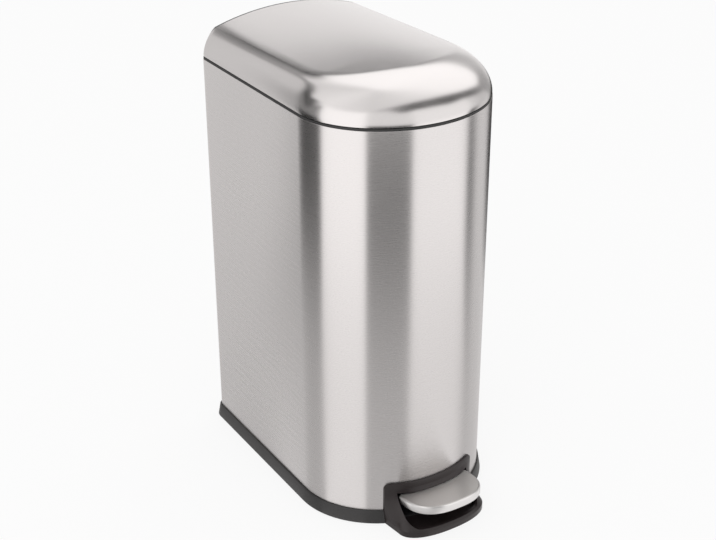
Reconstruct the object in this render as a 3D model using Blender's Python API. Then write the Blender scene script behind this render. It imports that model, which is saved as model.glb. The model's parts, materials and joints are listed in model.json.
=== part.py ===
"""Pedal bin: a D-shaped steel body with a hinged steel lid, an inner bucket of about 35 litres,
a pedal lever and a push rod that lifts the lid. Metres, +Z up, pedal towards -Y."""

from math import acos, asin, cos, hypot, pi, radians, sin, sqrt, tan

import bmesh
import bpy
from mathutils import Vector

# Body: the plan is a flat back, straight sides and an oval arch in front
BODY_WIDTH = 0.270
BODY_DEPTH = 0.385
ARCH_DEPTH = 0.118
REAR_CORNER_RADIUS = 0.013
STEEL = 0.0006
FIT_GAP = 0.0003
CUT_OVERRUN = 0.010

# How finely curves are drawn
ARC_STEPS = 7
CORNER_STEPS = 4
ROUND_STEPS = 24
SMALL_ROUND_STEPS = 12
SHARP_ANGLE = radians(30)
MERGE_DISTANCE = 1e-7

# Heights over the floor
SHELL_BOTTOM = 0.008
SHELL_TOP = 0.5735
BAND_HEIGHT = 0.0030
LID_GAP = 0.0012

# Base pan and its skirt
BASE_BOTTOM = 0.0015
SKIRT_TOP = 0.021
SKIRT_TOP_OUT = 0.0020
SKIRT_BOTTOM_OUT = 0.0055
SKIRT_EDGE = 0.0012
BASE_FLOOR = 0.003
UPSTAND_WIDTH = 0.003
FOOT_RADIUS = 0.009
FOOT_STEM_RADIUS = 0.003
FOOT_INSET = 0.030
FOOT_FRONT_SPREAD = 0.072
FOOT_FRONT_SETBACK = 0.050

# Hinge line behind the body, and the crank that the push rod lifts
HINGE_PIN_RADIUS = 0.0020
KNUCKLE_RADIUS = 0.0045
KNUCKLE_GAP = 0.0005
KNUCKLE_LENGTH = 0.015
KNUCKLE_INNER_X = 0.050
LID_SWING = radians(78)
CRANK_RADIUS = 0.030
CRANK_PIN_RADIUS = 0.0025
CRANK_ARM = 0.003
CRANK_BOSS_RADIUS = 0.005
LINK_THICKNESS = 0.008

# Front opening, bezel and pedal
BEZEL_REACH = 0.0465
BEZEL_HALF_WIDTH = 0.0715
BEZEL_TOP = 0.0640
BEZEL_FLANGE = 0.0030
BEZEL_CORNER = 0.0080
BEZEL_LIP_TOP = 0.0125
BEZEL_LIP_WIDTH = 0.0075
BEZEL_FLOOR = 0.003
SCOOP_HALF_WIDTH = 0.068
SCOOP_FLARE = 0.0035
SCOOP_ARCH_DEPTH = 0.0315
SCOOP_SQUARE_SHARE = 0.87
MOUTH_TOP = 0.0510
MOUTH_HALF_WIDTH = 0.0577
DOORWAY_HALF_WIDTH = 0.064
DOORWAY_TOP = 0.057
SNAP_TAB = 0.005
SNAP_TAB_BOTTOM = 0.026
SNAP_TAB_TOP = 0.044

PEDAL_REACH = 0.060
PEDAL_ARCH_DEPTH = 0.053
PEDAL_SQUARE_SHARE = 0.77
PEDAL_SIDE_GAP = 0.0015
PEDAL_FRONT_TOP = 0.0574
PEDAL_REAR_TOP = 0.0488
PEDAL_LIP = 0.0121
PEDAL_SHEET = 0.0012
PEDAL_TUCK = 0.003
CARRIER_RISE = 0.001
CARRIER_TONGUE = 0.040
BAR_FRONT_Z = 0.040

# Pedal lever
AXLE_SETBACK = 0.0645
AXLE_Z = 0.045
AXLE_RADIUS = 0.003
LEVER_BAR = 0.003
LEVER_BAR_HEIGHT = 0.010
LEVER_HALF_GAP = 0.008
LEVER_PIN_RADIUS = 0.0025
SADDLE_X = 0.040
SADDLE_WIDTH = 0.010
SADDLE_DEPTH = 0.024
SADDLE_WALL = 0.006
SPACER_RADIUS = 0.0055
CLIP_RADIUS = 0.0065
CLIP_WIDTH = 0.0015
AXLE_END = 0.003
RIVET_RADIUS = 0.002
RIVET_HEAD_RADIUS = 0.004
RIVET_HEAD = 0.0008

# Push rod, its guides and the channel behind the bucket
ROD_RADIUS = 0.003
ROD_END_DEPTH = 0.010
LINK_WIDTH = 0.019
LINK_WALL = 0.0045
EYE_WIDTH = 0.014
EYE_HALF_THICKNESS = 0.0050
CHANNEL_HALF_WIDTH = 0.024
CHANNEL_WALL = 0.002
CHANNEL_FRONT_GAP = 0.0218
GUIDE_HEIGHT = 0.012
GUIDE_DEPTH = 0.033
LOWER_GUIDE_Z = 0.125
UPPER_GUIDE_DROP = 0.0835
GUIDE_BORE_GAP = 0.0004

# Raised floor over the lever
DECK_TOP = 0.075
DECK_WALL = 0.002
DECK_INSET = 0.0045

# Collar
COLLAR_EDGE_INSET = 0.0004
COLLAR_WALL = 0.0024
COLLAR_SKIRT = 0.018
LEDGE_WIDTH = 0.0075
LEDGE_DROP = 0.013
LEDGE_THICKNESS = 0.0025
CRANK_WELL_HALF_WIDTH = 0.016

# Inner bucket
BUCKET_WALL = 0.0018
BUCKET_RIM = 0.0025
BUCKET_RIM_GAP = 0.0008
BUCKET_TAPER = 0.002
BUCKET_REAR_GAP = 0.004
BUCKET_CORNER_RADIUS = 0.014
GRIP_LENGTH = 0.090
GRIP_HEIGHT = 0.022
GRIP_DROP = 0.016

# Lid
LID_CROWN = 0.0516
CROWN_REAR_RADIUS = 0.366
CROWN_FRONT_RADIUS = 0.600
LID_INSET = 0.0006
LID_SKIRT = 0.002
LID_LEAN = 0.002
LID_CREASE = radians(8)
ROLL_WIDTH = 0.0255
NOSE_LENGTH = 0.070
NOSE_ARCH_DEPTH = 0.078
ROLL_TOP_SHARE = 0.56
ROLL_SIDE_SHARE = 0.48
ROLL_STEPS = 7
CROWN_STEPS = 6
SIDE_STEPS = 4
REAR_CAP = 0.0025
LINER_THICKNESS = 0.0020
LINER_GAP = 0.0012
LINER_HEIGHT = 0.0038
LINER_SIDE_GAP = 0.0011
BRACKET_THICKNESS = 0.0025
BRACKET_HALF_WIDTH = 0.020
BRACKET_LENGTH = 0.036
BRACKET_REAR_GAP = 0.006
BUMPER_REACH = 0.0040
BUMPER_SETBACK = 0.0021
SCREW_RADIUS = 0.0018
SCREW_HEAD_RADIUS = 0.0035
SCREW_HEAD = 0.0012
BRACKET_SCREW_X = 0.0145

# Places that follow from the sizes above
HINGE_OUT = KNUCKLE_RADIUS + KNUCKLE_GAP
HINGE_REACH = HINGE_OUT + KNUCKLE_RADIUS
PLAN_Y = (PEDAL_REACH - HINGE_REACH) / 2
FRONT_Y = PLAN_Y - BODY_DEPTH / 2
REAR_Y = PLAN_Y + BODY_DEPTH / 2
LID_BOTTOM = SHELL_TOP + BAND_HEIGHT + LID_GAP
BAND_TOP = SHELL_TOP + BAND_HEIGHT
HINGE_Y = REAR_Y + HINGE_OUT
HINGE_Z = SHELL_TOP + BAND_HEIGHT / 2
HALF_SWING = LID_SWING / 2
ROD_STROKE = 2 * CRANK_RADIUS * sin(HALF_SWING)
ROD_Y = HINGE_Y - CRANK_RADIUS * (1 + cos(HALF_SWING)) / 2
CRANK_Y = HINGE_Y - CRANK_RADIUS * cos(HALF_SWING)
CRANK_Z = HINGE_Z - CRANK_RADIUS * sin(HALF_SWING)
AXLE_Y = FRONT_Y + AXLE_SETBACK
LEVER_PIN_Y = ROD_Y
LEVER_PIN_Z = AXLE_Z - ROD_STROKE / 2
CHANNEL_FRONT_Y = ROD_Y - CHANNEL_FRONT_GAP
LEDGE_TOP = BAND_TOP - LEDGE_DROP
LEDGE_BOTTOM = LEDGE_TOP - LEDGE_THICKNESS
COLLAR_INNER = STEEL + FIT_GAP + COLLAR_WALL
LID_TOP = LID_BOTTOM + LID_CROWN
PAN_TOP = BASE_BOTTOM + BASE_FLOOR
PEDAL_REAR_Y = FRONT_Y + PEDAL_TUCK
BAR_FRONT_Y = PEDAL_REAR_Y - PEDAL_ARCH_DEPTH / 2
BAR_SIDE = LEVER_HALF_GAP + LEVER_BAR + FIT_GAP
CLIP_X = SADDLE_X + SADDLE_WIDTH / 2 + FIT_GAP
LINER_BOTTOM = LID_BOTTOM + LINER_GAP
BRACKET_TOP = LINER_BOTTOM - FIT_GAP
BRACKET_REAR_Y = REAR_Y - COLLAR_INNER - BRACKET_REAR_GAP
ARM_INNER_X = LINK_THICKNESS / 2 + 2 * FIT_GAP
SIDES = (("left", -1), ("right", 1))

# Colours, roughness and metal
STEEL_LOOK = ((0.60, 0.58, 0.56), 0.32, 1.0)
PLASTIC_LOOK = ((0.045, 0.042, 0.042), 0.50, 0.0)
BEZEL_LOOK = ((0.055, 0.048, 0.047), 0.42, 0.0)
BUCKET_LOOK = ((0.030, 0.030, 0.031), 0.55, 0.0)
RUBBER_LOOK = ((0.020, 0.020, 0.020), 0.80, 0.0)
ZINC_LOOK = ((0.52, 0.53, 0.54), 0.38, 1.0)


def clear_scene():
    for obj in list(bpy.data.objects):
        bpy.data.objects.remove(obj, do_unlink=True)


def material(name, look):
    made = bpy.data.materials.new(name)
    made.use_nodes = True
    shader = made.node_tree.nodes["Principled BSDF"]
    colour, roughness, metallic = look
    shader.inputs["Base Color"].default_value = (*colour, 1.0)
    shader.inputs["Roughness"].default_value = roughness
    shader.inputs["Metallic"].default_value = metallic
    return made


def axis_empty(name, place):
    """An empty on a joint's axis, which carries the pieces that move about it."""
    empty = bpy.data.objects.new(name, None)
    empty.location = place
    bpy.context.scene.collection.objects.link(empty)
    return empty


def solid(name, points, faces, look, carrier=None):
    """A named mesh from world points; a piece with a carrier has its origin on that joint's axis."""
    origin = carrier.location if carrier else Vector()
    mesh = bpy.data.meshes.new(name)
    mesh.from_pydata([Vector(p) - origin for p in points], [], faces)
    shape = bmesh.new()
    shape.from_mesh(mesh)
    bmesh.ops.remove_doubles(shape, verts=shape.verts, dist=MERGE_DISTANCE)
    bmesh.ops.recalc_face_normals(shape, faces=shape.faces)
    shape.to_mesh(mesh)
    shape.free()
    mesh.shade_smooth()
    mesh.set_sharp_from_angle(angle=SHARP_ANGLE)
    mesh.materials.append(material(name, look))
    obj = bpy.data.objects.new(name, mesh)
    obj.parent = carrier
    bpy.context.scene.collection.objects.link(obj)
    return obj


def combine(obj, other, operation):
    """Cuts the other shape from obj, or joins it to obj, and hides it."""
    other.hide_render = True
    other.display_type = "WIRE"
    step = obj.modifiers.new(other.name, "BOOLEAN")
    step.operation = operation
    step.object = other
    return obj


def cut(obj, *others):
    for other in others:
        combine(obj, other, "DIFFERENCE")
    return obj


def join(obj, *others):
    for other in others:
        combine(obj, other, "UNION")
    return obj


def loft(name, rings, look, carrier=None):
    """A closed solid through rings of as many points each."""
    count = len(rings[0])
    points = [p for ring in rings for p in ring]
    faces = [tuple(reversed(range(count)))]
    faces.append(tuple(range(len(points) - count, len(points))))
    for k in range(len(rings) - 1):
        low = k * count
        for i in range(count):
            j = (i + 1) % count
            faces.append((low + i, low + j, low + count + j, low + count + i))
    return solid(name, points, faces, look, carrier)


def prism_z(name, plan_points, bottom, top, look, carrier=None):
    rings = [[(x, y, z) for x, y in plan_points] for z in (bottom, top)]
    return loft(name, rings, look, carrier)


def prism_x(name, side_points, left, right, look, carrier=None):
    rings = [[(x, y, z) for y, z in side_points] for x in (left, right)]
    return loft(name, rings, look, carrier)


def box(name, low, high, look, carrier=None):
    plan_points = [(low[0], low[1]), (high[0], low[1]), (high[0], high[1]), (low[0], high[1])]
    return prism_z(name, plan_points, low[2], high[2], look, carrier)


def circle(centre, radius, steps=ROUND_STEPS):
    return [
        (centre[0] + radius * cos(2 * pi * i / steps), centre[1] + radius * sin(2 * pi * i / steps))
        for i in range(steps)
    ]


def rod_x(name, y, z, radius, left, right, look, carrier=None, steps=ROUND_STEPS):
    return prism_x(name, circle((y, z), radius, steps), left, right, look, carrier)


def rod_z(name, x, y, radius, bottom, top, look, carrier=None, steps=ROUND_STEPS):
    return prism_z(name, circle((x, y), radius, steps), bottom, top, look, carrier)


def arch(half_width, front, depth, square_share=1.0):
    """Half an oval arch from its middle in front to its side; a share under 1 makes it squarer."""
    points = []
    for i in range(2 * ARC_STEPS + 1):
        angle = pi / 2 * i / (2 * ARC_STEPS)
        x = half_width * sin(angle) ** square_share
        points.append((x, front + depth * (1 - cos(angle) ** square_share)))
    return points


def mirrored(half):
    """The closed outline of a right half that runs from the middle in front to the rear."""
    left = [(-x, y) for x, y in reversed(half) if x > 0]
    return half + left


def half_plan(out=0.0, rear=None, corner=None):
    """The body's plan, grown by out; rear and corner replace where its back is and how it turns."""
    rear = REAR_Y + out if rear is None else rear
    corner = REAR_CORNER_RADIUS + out if corner is None else corner
    half_width = BODY_WIDTH / 2 + out
    points = arch(half_width, FRONT_Y - out, ARCH_DEPTH + out)
    for i in range(CORNER_STEPS + 1):
        angle = pi / 2 * i / CORNER_STEPS
        points.append((half_width - corner * (1 - cos(angle)), rear - corner * (1 - sin(angle))))
    return points


def plan(out=0.0, rear=None, corner=None):
    return mirrored(half_plan(out, rear, corner))


def front_y(x, out=0.0):
    """Where the body's plan, grown by out, is in front at this x."""
    half = arch(BODY_WIDTH / 2 + out, FRONT_Y - out, ARCH_DEPTH + out)
    for (x0, y0), (x1, y1) in zip(half, half[1:]):
        if x0 <= abs(x) <= x1:
            return y0 + (y1 - y0) * (abs(x) - x0) / (x1 - x0)
    return half[-1][1]


def closed_loft(name, rings, look, carrier=None):
    """A ring-shaped solid whose section has one ring for each of its corners."""
    count = len(rings[0])
    points = [p for ring in rings for p in ring]
    faces = []
    for k in range(len(rings)):
        low = k * count
        high = (k + 1) % len(rings) * count
        for i in range(count):
            j = (i + 1) % count
            faces.append((low + i, low + j, high + j, high + i))
    return solid(name, points, faces, look, carrier)


def tube(name, outer, inner, bottom, top, look, carrier=None):
    """A wall between two plan outlines of as many points."""
    section = ((outer, bottom), (outer, top), (inner, top), (inner, bottom))
    rings = [[(x, y, z) for x, y in outline] for outline, z in section]
    return closed_loft(name, rings, look, carrier)


def outer_shell():
    shell = tube("outer_shell", plan(), plan(-STEEL), SHELL_BOTTOM, SHELL_TOP, STEEL_LOOK)
    doorway = box(
        "shell_doorway",
        (-DOORWAY_HALF_WIDTH, FRONT_Y - CUT_OVERRUN, SHELL_BOTTOM - CUT_OVERRUN),
        (DOORWAY_HALF_WIDTH, FRONT_Y + ARCH_DEPTH, DOORWAY_TOP),
        STEEL_LOOK,
    )
    cut(shell, doorway)


def foot_places():
    rear = REAR_Y - FOOT_INSET
    side = BODY_WIDTH / 2 - FOOT_INSET
    front = FRONT_Y + FOOT_FRONT_SETBACK
    return {
        "front_left": (-FOOT_FRONT_SPREAD, front),
        "front_right": (FOOT_FRONT_SPREAD, front),
        "rear_left": (-side, rear),
        "rear_right": (side, rear),
    }


def base_pan():
    outs = (
        (BASE_BOTTOM, SKIRT_BOTTOM_OUT),
        (SKIRT_TOP - SKIRT_EDGE, SKIRT_TOP_OUT),
        (SKIRT_TOP, SKIRT_TOP_OUT - SKIRT_EDGE),
    )
    rings = [[(x, y, z) for x, y in plan(out)] for z, out in outs]
    base = loft("base_pan", rings, PLASTIC_LOOK)
    groove = tube(
        "shell_groove",
        plan(FIT_GAP),
        plan(-STEEL - FIT_GAP),
        SHELL_BOTTOM - FIT_GAP,
        SKIRT_TOP + CUT_OVERRUN,
        PLASTIC_LOOK,
    )
    inside = plan(-STEEL - FIT_GAP - UPSTAND_WIDTH)
    pocket = prism_z(
        "base_pocket", inside, PAN_TOP, SKIRT_TOP + CUT_OVERRUN, PLASTIC_LOOK
    )
    doorway = box(
        "base_doorway",
        (-DOORWAY_HALF_WIDTH, FRONT_Y - CUT_OVERRUN, SHELL_BOTTOM - FIT_GAP),
        (DOORWAY_HALF_WIDTH, FRONT_Y + ARCH_DEPTH, SKIRT_TOP + CUT_OVERRUN),
        PLASTIC_LOOK,
    )
    # The bezel takes the skirt's place in front
    wide = BEZEL_HALF_WIDTH + FIT_GAP
    inner = [(x, front_y(x)) for x in bezel_stations(wide)]
    outer = [(wide, FRONT_Y - CUT_OVERRUN), (-wide, FRONT_Y - CUT_OVERRUN)]
    bezel_place = prism_z(
        "bezel_place",
        inner + outer,
        BASE_BOTTOM - CUT_OVERRUN,
        SKIRT_TOP + CUT_OVERRUN,
        PLASTIC_LOOK,
    )
    cut(base, groove, pocket, doorway, bezel_place)
    for name, (x, y) in foot_places().items():
        hole = rod_z(
            "foot_hole_" + name,
            x,
            y,
            FOOT_STEM_RADIUS + FIT_GAP,
            BASE_BOTTOM - CUT_OVERRUN,
            PAN_TOP + FIT_GAP,
            PLASTIC_LOOK,
            steps=SMALL_ROUND_STEPS,
        )
        cut(base, hole)


def feet():
    for name, (x, y) in foot_places().items():
        stem_top = PAN_TOP - FIT_GAP
        disc_top = BASE_BOTTOM - FIT_GAP
        outline = ((FOOT_RADIUS, 0), (FOOT_RADIUS, disc_top), (FOOT_STEM_RADIUS, disc_top))
        outline += ((FOOT_STEM_RADIUS, stem_top),)
        rings = [[(px, py, z) for px, py in circle((x, y), r)] for r, z in outline]
        loft("foot_" + name, rings, RUBBER_LOOK)


def bezel_stations(half_width):
    """Places across the front, from left to right."""
    count = 4 * ARC_STEPS
    return [half_width * (2 * i / count - 1) for i in range(count + 1)]


def along(points, count):
    """As many points, evenly spaced along a line of points."""
    lengths = [0.0]
    for (x0, y0), (x1, y1) in zip(points, points[1:]):
        lengths.append(lengths[-1] + hypot(x1 - x0, y1 - y0))
    spaced = []
    k = 0
    for i in range(count):
        wanted = lengths[-1] * i / (count - 1)
        while k < len(points) - 2 and lengths[k + 1] < wanted:
            k += 1
        share = (wanted - lengths[k]) / (lengths[k + 1] - lengths[k])
        (x0, y0), (x1, y1) = points[k], points[k + 1]
        spaced.append((x0 + (x1 - x0) * share, y0 + (y1 - y0) * share))
    return spaced


def scoop_front(inset=0.0):
    """The scoop's plan line from the body on the left, round its nose, to the body on the right."""
    front = FRONT_Y - BEZEL_REACH + inset
    nose = arch(SCOOP_HALF_WIDTH - inset, front, SCOOP_ARCH_DEPTH - inset, SCOOP_SQUARE_SHARE)
    flare_x = SCOOP_HALF_WIDTH + SCOOP_FLARE - inset
    half = nose + [(flare_x, front_y(flare_x, BEZEL_FLANGE))]
    return [(-x, y) for x, y in reversed(half) if x > 0] + half


def bezel_rows():
    """Height, half width and share of the scoop's swell, up to the flange's round corners."""
    swell_shares = (
        (BASE_BOTTOM, 1.0),
        (BEZEL_LIP_TOP - BEZEL_FLOOR, 1.0),
        (BEZEL_LIP_TOP, 0.93),
        (BEZEL_LIP_TOP + BEZEL_FLOOR, 0.84),
        ((BEZEL_LIP_TOP + MOUTH_TOP) / 2, 0.48),
        (MOUTH_TOP, 0.14),
    )
    rows = [(z, BEZEL_HALF_WIDTH, share) for z, share in swell_shares]
    first_share, last_share = 0.06, -0.03
    for i in range(CORNER_STEPS + 1):
        turn = pi / 2 * i / CORNER_STEPS
        share = first_share + (last_share - first_share) * i / CORNER_STEPS
        z = BEZEL_TOP - BEZEL_CORNER * (1 - sin(turn))
        rows.append((z, BEZEL_HALF_WIDTH - BEZEL_CORNER * (1 - cos(turn)), share))
    return rows


def pedal_bezel():
    """A flange on the body's front that swells downwards into a scoop with a lip."""
    scoop = along(scoop_front(), 4 * ARC_STEPS + 1)
    rings = []
    for z, half_width, share in bezel_rows():
        flange = [(x, front_y(x, BEZEL_FLANGE)) for x in bezel_stations(half_width)]
        back = [(x, front_y(x, FIT_GAP)) for x in bezel_stations(half_width)]
        front = [
            (fx + (sx - fx) * share, fy + (sy - fy) * share)
            for (fx, fy), (sx, sy) in zip(flange, scoop)
        ]
        rings.append([(x, y, z) for x, y in front + back[::-1]])
    bezel = loft("pedal_bezel", rings, BEZEL_LOOK)
    mouth = box(
        "bezel_mouth",
        (-MOUTH_HALF_WIDTH, FRONT_Y - BEZEL_REACH - CUT_OVERRUN, BEZEL_LIP_TOP),
        (MOUTH_HALF_WIDTH, FRONT_Y + ARCH_DEPTH, MOUTH_TOP),
        BEZEL_LOOK,
    )
    # The well is a hair narrower than the mouth, so that their walls don't coincide
    well_half_width = MOUTH_HALF_WIDTH - FIT_GAP
    inner_nose = arch(
        well_half_width,
        FRONT_Y - BEZEL_REACH + BEZEL_LIP_WIDTH,
        SCOOP_ARCH_DEPTH - BEZEL_LIP_WIDTH,
        SCOOP_SQUARE_SHARE,
    )
    well_plan = mirrored(inner_nose + [(well_half_width, FRONT_Y + ARCH_DEPTH)])
    well = prism_z(
        "bezel_well",
        well_plan,
        BASE_BOTTOM + BEZEL_FLOOR,
        BEZEL_LIP_TOP + CUT_OVERRUN,
        BEZEL_LOOK,
    )
    cut(bezel, mouth, well)
    join(bezel, *snap_tabs())


def snap_tabs():
    """Two hooks that pass through the shell's doorway and hold the bezel from behind."""
    tabs = []
    for side, sign in SIDES:
        outer = sign * (DOORWAY_HALF_WIDTH - FIT_GAP)
        inner = outer - sign * SNAP_TAB
        hook = outer + sign * SNAP_TAB
        behind = front_y(outer, -STEEL - FIT_GAP)
        hook_y = max(behind, front_y(hook, -STEEL - FIT_GAP))
        root_y = front_y(inner, BEZEL_FLANGE / 2)
        hook_end = hook_y + SNAP_TAB / 2
        tab_plan = [(inner, root_y), (outer, root_y), (outer, hook_y), (hook, hook_y)]
        tab_plan += [(hook, hook_end), (inner, hook_end)]
        tab = prism_z("snap_tab_" + side, tab_plan, SNAP_TAB_BOTTOM, SNAP_TAB_TOP, BEZEL_LOOK)
        tabs.append(tab)
    return tabs


def top_collar():
    """The black band under the lid, its skirt inside the shell, the bucket's ledge and the hinge."""
    hole_inset = COLLAR_INNER + LEDGE_WIDTH
    hole = plan(-hole_inset, CHANNEL_FRONT_Y - BUCKET_REAR_GAP, BUCKET_CORNER_RADIUS)
    edge = plan(-COLLAR_EDGE_INSET)
    inner = plan(-COLLAR_INNER)
    under = plan(-STEEL - FIT_GAP)
    band_bottom = SHELL_TOP + FIT_GAP
    skirt_bottom = LEDGE_BOTTOM - COLLAR_SKIRT
    section = (
        (edge, band_bottom),
        (edge, BAND_TOP),
        (inner, BAND_TOP),
        (inner, LEDGE_TOP),
        (hole, LEDGE_TOP),
        (hole, LEDGE_BOTTOM),
        (inner, LEDGE_BOTTOM),
        (inner, skirt_bottom),
        (under, skirt_bottom),
        (under, band_bottom),
    )
    rings = [[(x, y, z) for x, y in outline] for outline, z in section]
    collar = closed_loft("top_collar", rings, PLASTIC_LOOK)
    well_front = ROD_Y - LINK_WIDTH / 2 - 2 * LINK_WALL
    well_rear = REAR_Y - COLLAR_INNER - FIT_GAP
    well = box(
        "crank_well",
        (-CRANK_WELL_HALF_WIDTH, well_front, LEDGE_BOTTOM - CUT_OVERRUN),
        (CRANK_WELL_HALF_WIDTH, well_rear, BAND_TOP + CUT_OVERRUN),
        PLASTIC_LOOK,
    )
    cut(collar, well)
    for side, sign in SIDES:
        knuckle = hinge_knuckle("collar_knuckle_" + side, sign, 0, False)
        join(collar, knuckle)
        cut(collar, hinge_bore("collar_bore_" + side, sign, 0))


def knuckle_span(sign, place):
    """The x range of a knuckle; place 0 is the collar's, place 1 the lid's beside it."""
    near = KNUCKLE_INNER_X - place * (KNUCKLE_LENGTH + FIT_GAP)
    ends = (sign * near, sign * (near + KNUCKLE_LENGTH))
    return min(ends), max(ends)


def hinge_knuckle(name, sign, place, on_lid, carrier=None):
    """A barrel on the hinge line with a web to the band or to the lid's rear cap."""
    left, right = knuckle_span(sign, place)
    barrel = rod_x(name, HINGE_Y, HINGE_Z, KNUCKLE_RADIUS, left, right, PLASTIC_LOOK, carrier)
    if on_lid:
        low, high = LID_BOTTOM + FIT_GAP, LID_BOTTOM + KNUCKLE_RADIUS / 2
    else:
        low, high = SHELL_TOP + 2 * FIT_GAP, BAND_TOP - FIT_GAP
    inside = REAR_Y - REAR_CAP / 2
    web_points = [(inside, low), (HINGE_Y, low), (HINGE_Y, high), (inside, high)]
    web = prism_x(name + "_web", web_points, left, right, PLASTIC_LOOK, carrier)
    join(barrel, web)
    return barrel


def hinge_bore(name, sign, place, carrier=None):
    left, right = knuckle_span(sign, place)
    return rod_x(
        name,
        HINGE_Y,
        HINGE_Z,
        HINGE_PIN_RADIUS + FIT_GAP,
        left - CUT_OVERRUN / 2,
        right + CUT_OVERRUN / 2,
        PLASTIC_LOOK,
        carrier,
    )


def raised_floor():
    """The tray over the lever that the bucket stands on."""
    base = PAN_TOP + FIT_GAP
    deck = prism_z("raised_floor", plan(-DECK_INSET), base, DECK_TOP, PLASTIC_LOOK)
    hollow = prism_z(
        "deck_hollow",
        plan(-DECK_INSET - DECK_WALL),
        base - CUT_OVERRUN,
        DECK_TOP - DECK_WALL,
        PLASTIC_LOOK,
    )
    doorway = box(
        "deck_doorway",
        (-DOORWAY_HALF_WIDTH - SNAP_TAB - DECK_WALL, FRONT_Y - CUT_OVERRUN, base - CUT_OVERRUN),
        (DOORWAY_HALF_WIDTH + SNAP_TAB + DECK_WALL, FRONT_Y + ARCH_DEPTH / 2, DOORWAY_TOP),
        PLASTIC_LOOK,
    )
    shaft = box(
        "deck_shaft",
        (-CHANNEL_HALF_WIDTH, CHANNEL_FRONT_Y + CHANNEL_WALL, DECK_TOP - DECK_WALL - CUT_OVERRUN),
        (CHANNEL_HALF_WIDTH, REAR_Y - DECK_INSET - DECK_WALL, DECK_TOP + CUT_OVERRUN),
        PLASTIC_LOOK,
    )
    cut(deck, hollow, doorway, shaft)


def rod_channel_cover():
    """A three-sided channel that keeps the bucket off the push rod."""
    outer = CHANNEL_HALF_WIDTH + CHANNEL_WALL
    rear = REAR_Y - STEEL - FIT_GAP
    front = CHANNEL_FRONT_Y
    points = [(-outer, front), (outer, front), (outer, rear), (CHANNEL_HALF_WIDTH, rear)]
    points += [(CHANNEL_HALF_WIDTH, front + CHANNEL_WALL)]
    points += [(-CHANNEL_HALF_WIDTH, front + CHANNEL_WALL), (-CHANNEL_HALF_WIDTH, rear)]
    points += [(-outer, rear)]
    bottom = DECK_TOP + FIT_GAP
    channel = prism_z("rod_channel_cover", points, bottom, LEDGE_BOTTOM - FIT_GAP, PLASTIC_LOOK)
    # The collar's skirt reaches down behind the channel's sides
    room_bottom = LEDGE_BOTTOM - COLLAR_SKIRT - FIT_GAP
    skirt_room = box(
        "skirt_room",
        (-outer - CUT_OVERRUN, REAR_Y - COLLAR_INNER - FIT_GAP, room_bottom),
        (outer + CUT_OVERRUN, rear + CUT_OVERRUN, LEDGE_BOTTOM + CUT_OVERRUN),
        PLASTIC_LOOK,
    )
    cut(channel, skirt_room)


def rod_guides():
    upper_z = SHELL_TOP - UPPER_GUIDE_DROP
    for name, z in (("rod_guide_lower", LOWER_GUIDE_Z), ("rod_guide_upper", upper_z)):
        half = CHANNEL_HALF_WIDTH - FIT_GAP
        front = CHANNEL_FRONT_Y + CHANNEL_WALL + FIT_GAP
        guide = box(
            name,
            (-half, front, z),
            (half, front + GUIDE_DEPTH, z + GUIDE_HEIGHT),
            PLASTIC_LOOK,
        )
        bore = rod_z(
            name + "_bore",
            0,
            ROD_Y,
            ROD_RADIUS + GUIDE_BORE_GAP,
            z - CUT_OVERRUN,
            z + GUIDE_HEIGHT + CUT_OVERRUN,
            PLASTIC_LOOK,
        )
        cut(guide, bore)


def axle_saddles():
    bottom = PAN_TOP + FIT_GAP
    for side, sign in SIDES:
        left = sign * SADDLE_X - SADDLE_WIDTH / 2
        right = sign * SADDLE_X + SADDLE_WIDTH / 2
        top_half = AXLE_RADIUS + SADDLE_WALL
        points = [(AXLE_Y - SADDLE_DEPTH / 2, bottom), (AXLE_Y + SADDLE_DEPTH / 2, bottom)]
        for i in range(ARC_STEPS + 1):
            angle = pi * i / ARC_STEPS
            points.append((AXLE_Y + top_half * cos(angle), AXLE_Z + top_half * sin(angle)))
        saddle = prism_x("axle_saddle_" + side, points, left, right, PLASTIC_LOOK)
        bore = rod_x(
            "saddle_bore_" + side,
            AXLE_Y,
            AXLE_Z,
            AXLE_RADIUS + FIT_GAP,
            left - CUT_OVERRUN,
            right + CUT_OVERRUN,
            PLASTIC_LOOK,
        )
        cut(saddle, bore)


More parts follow.
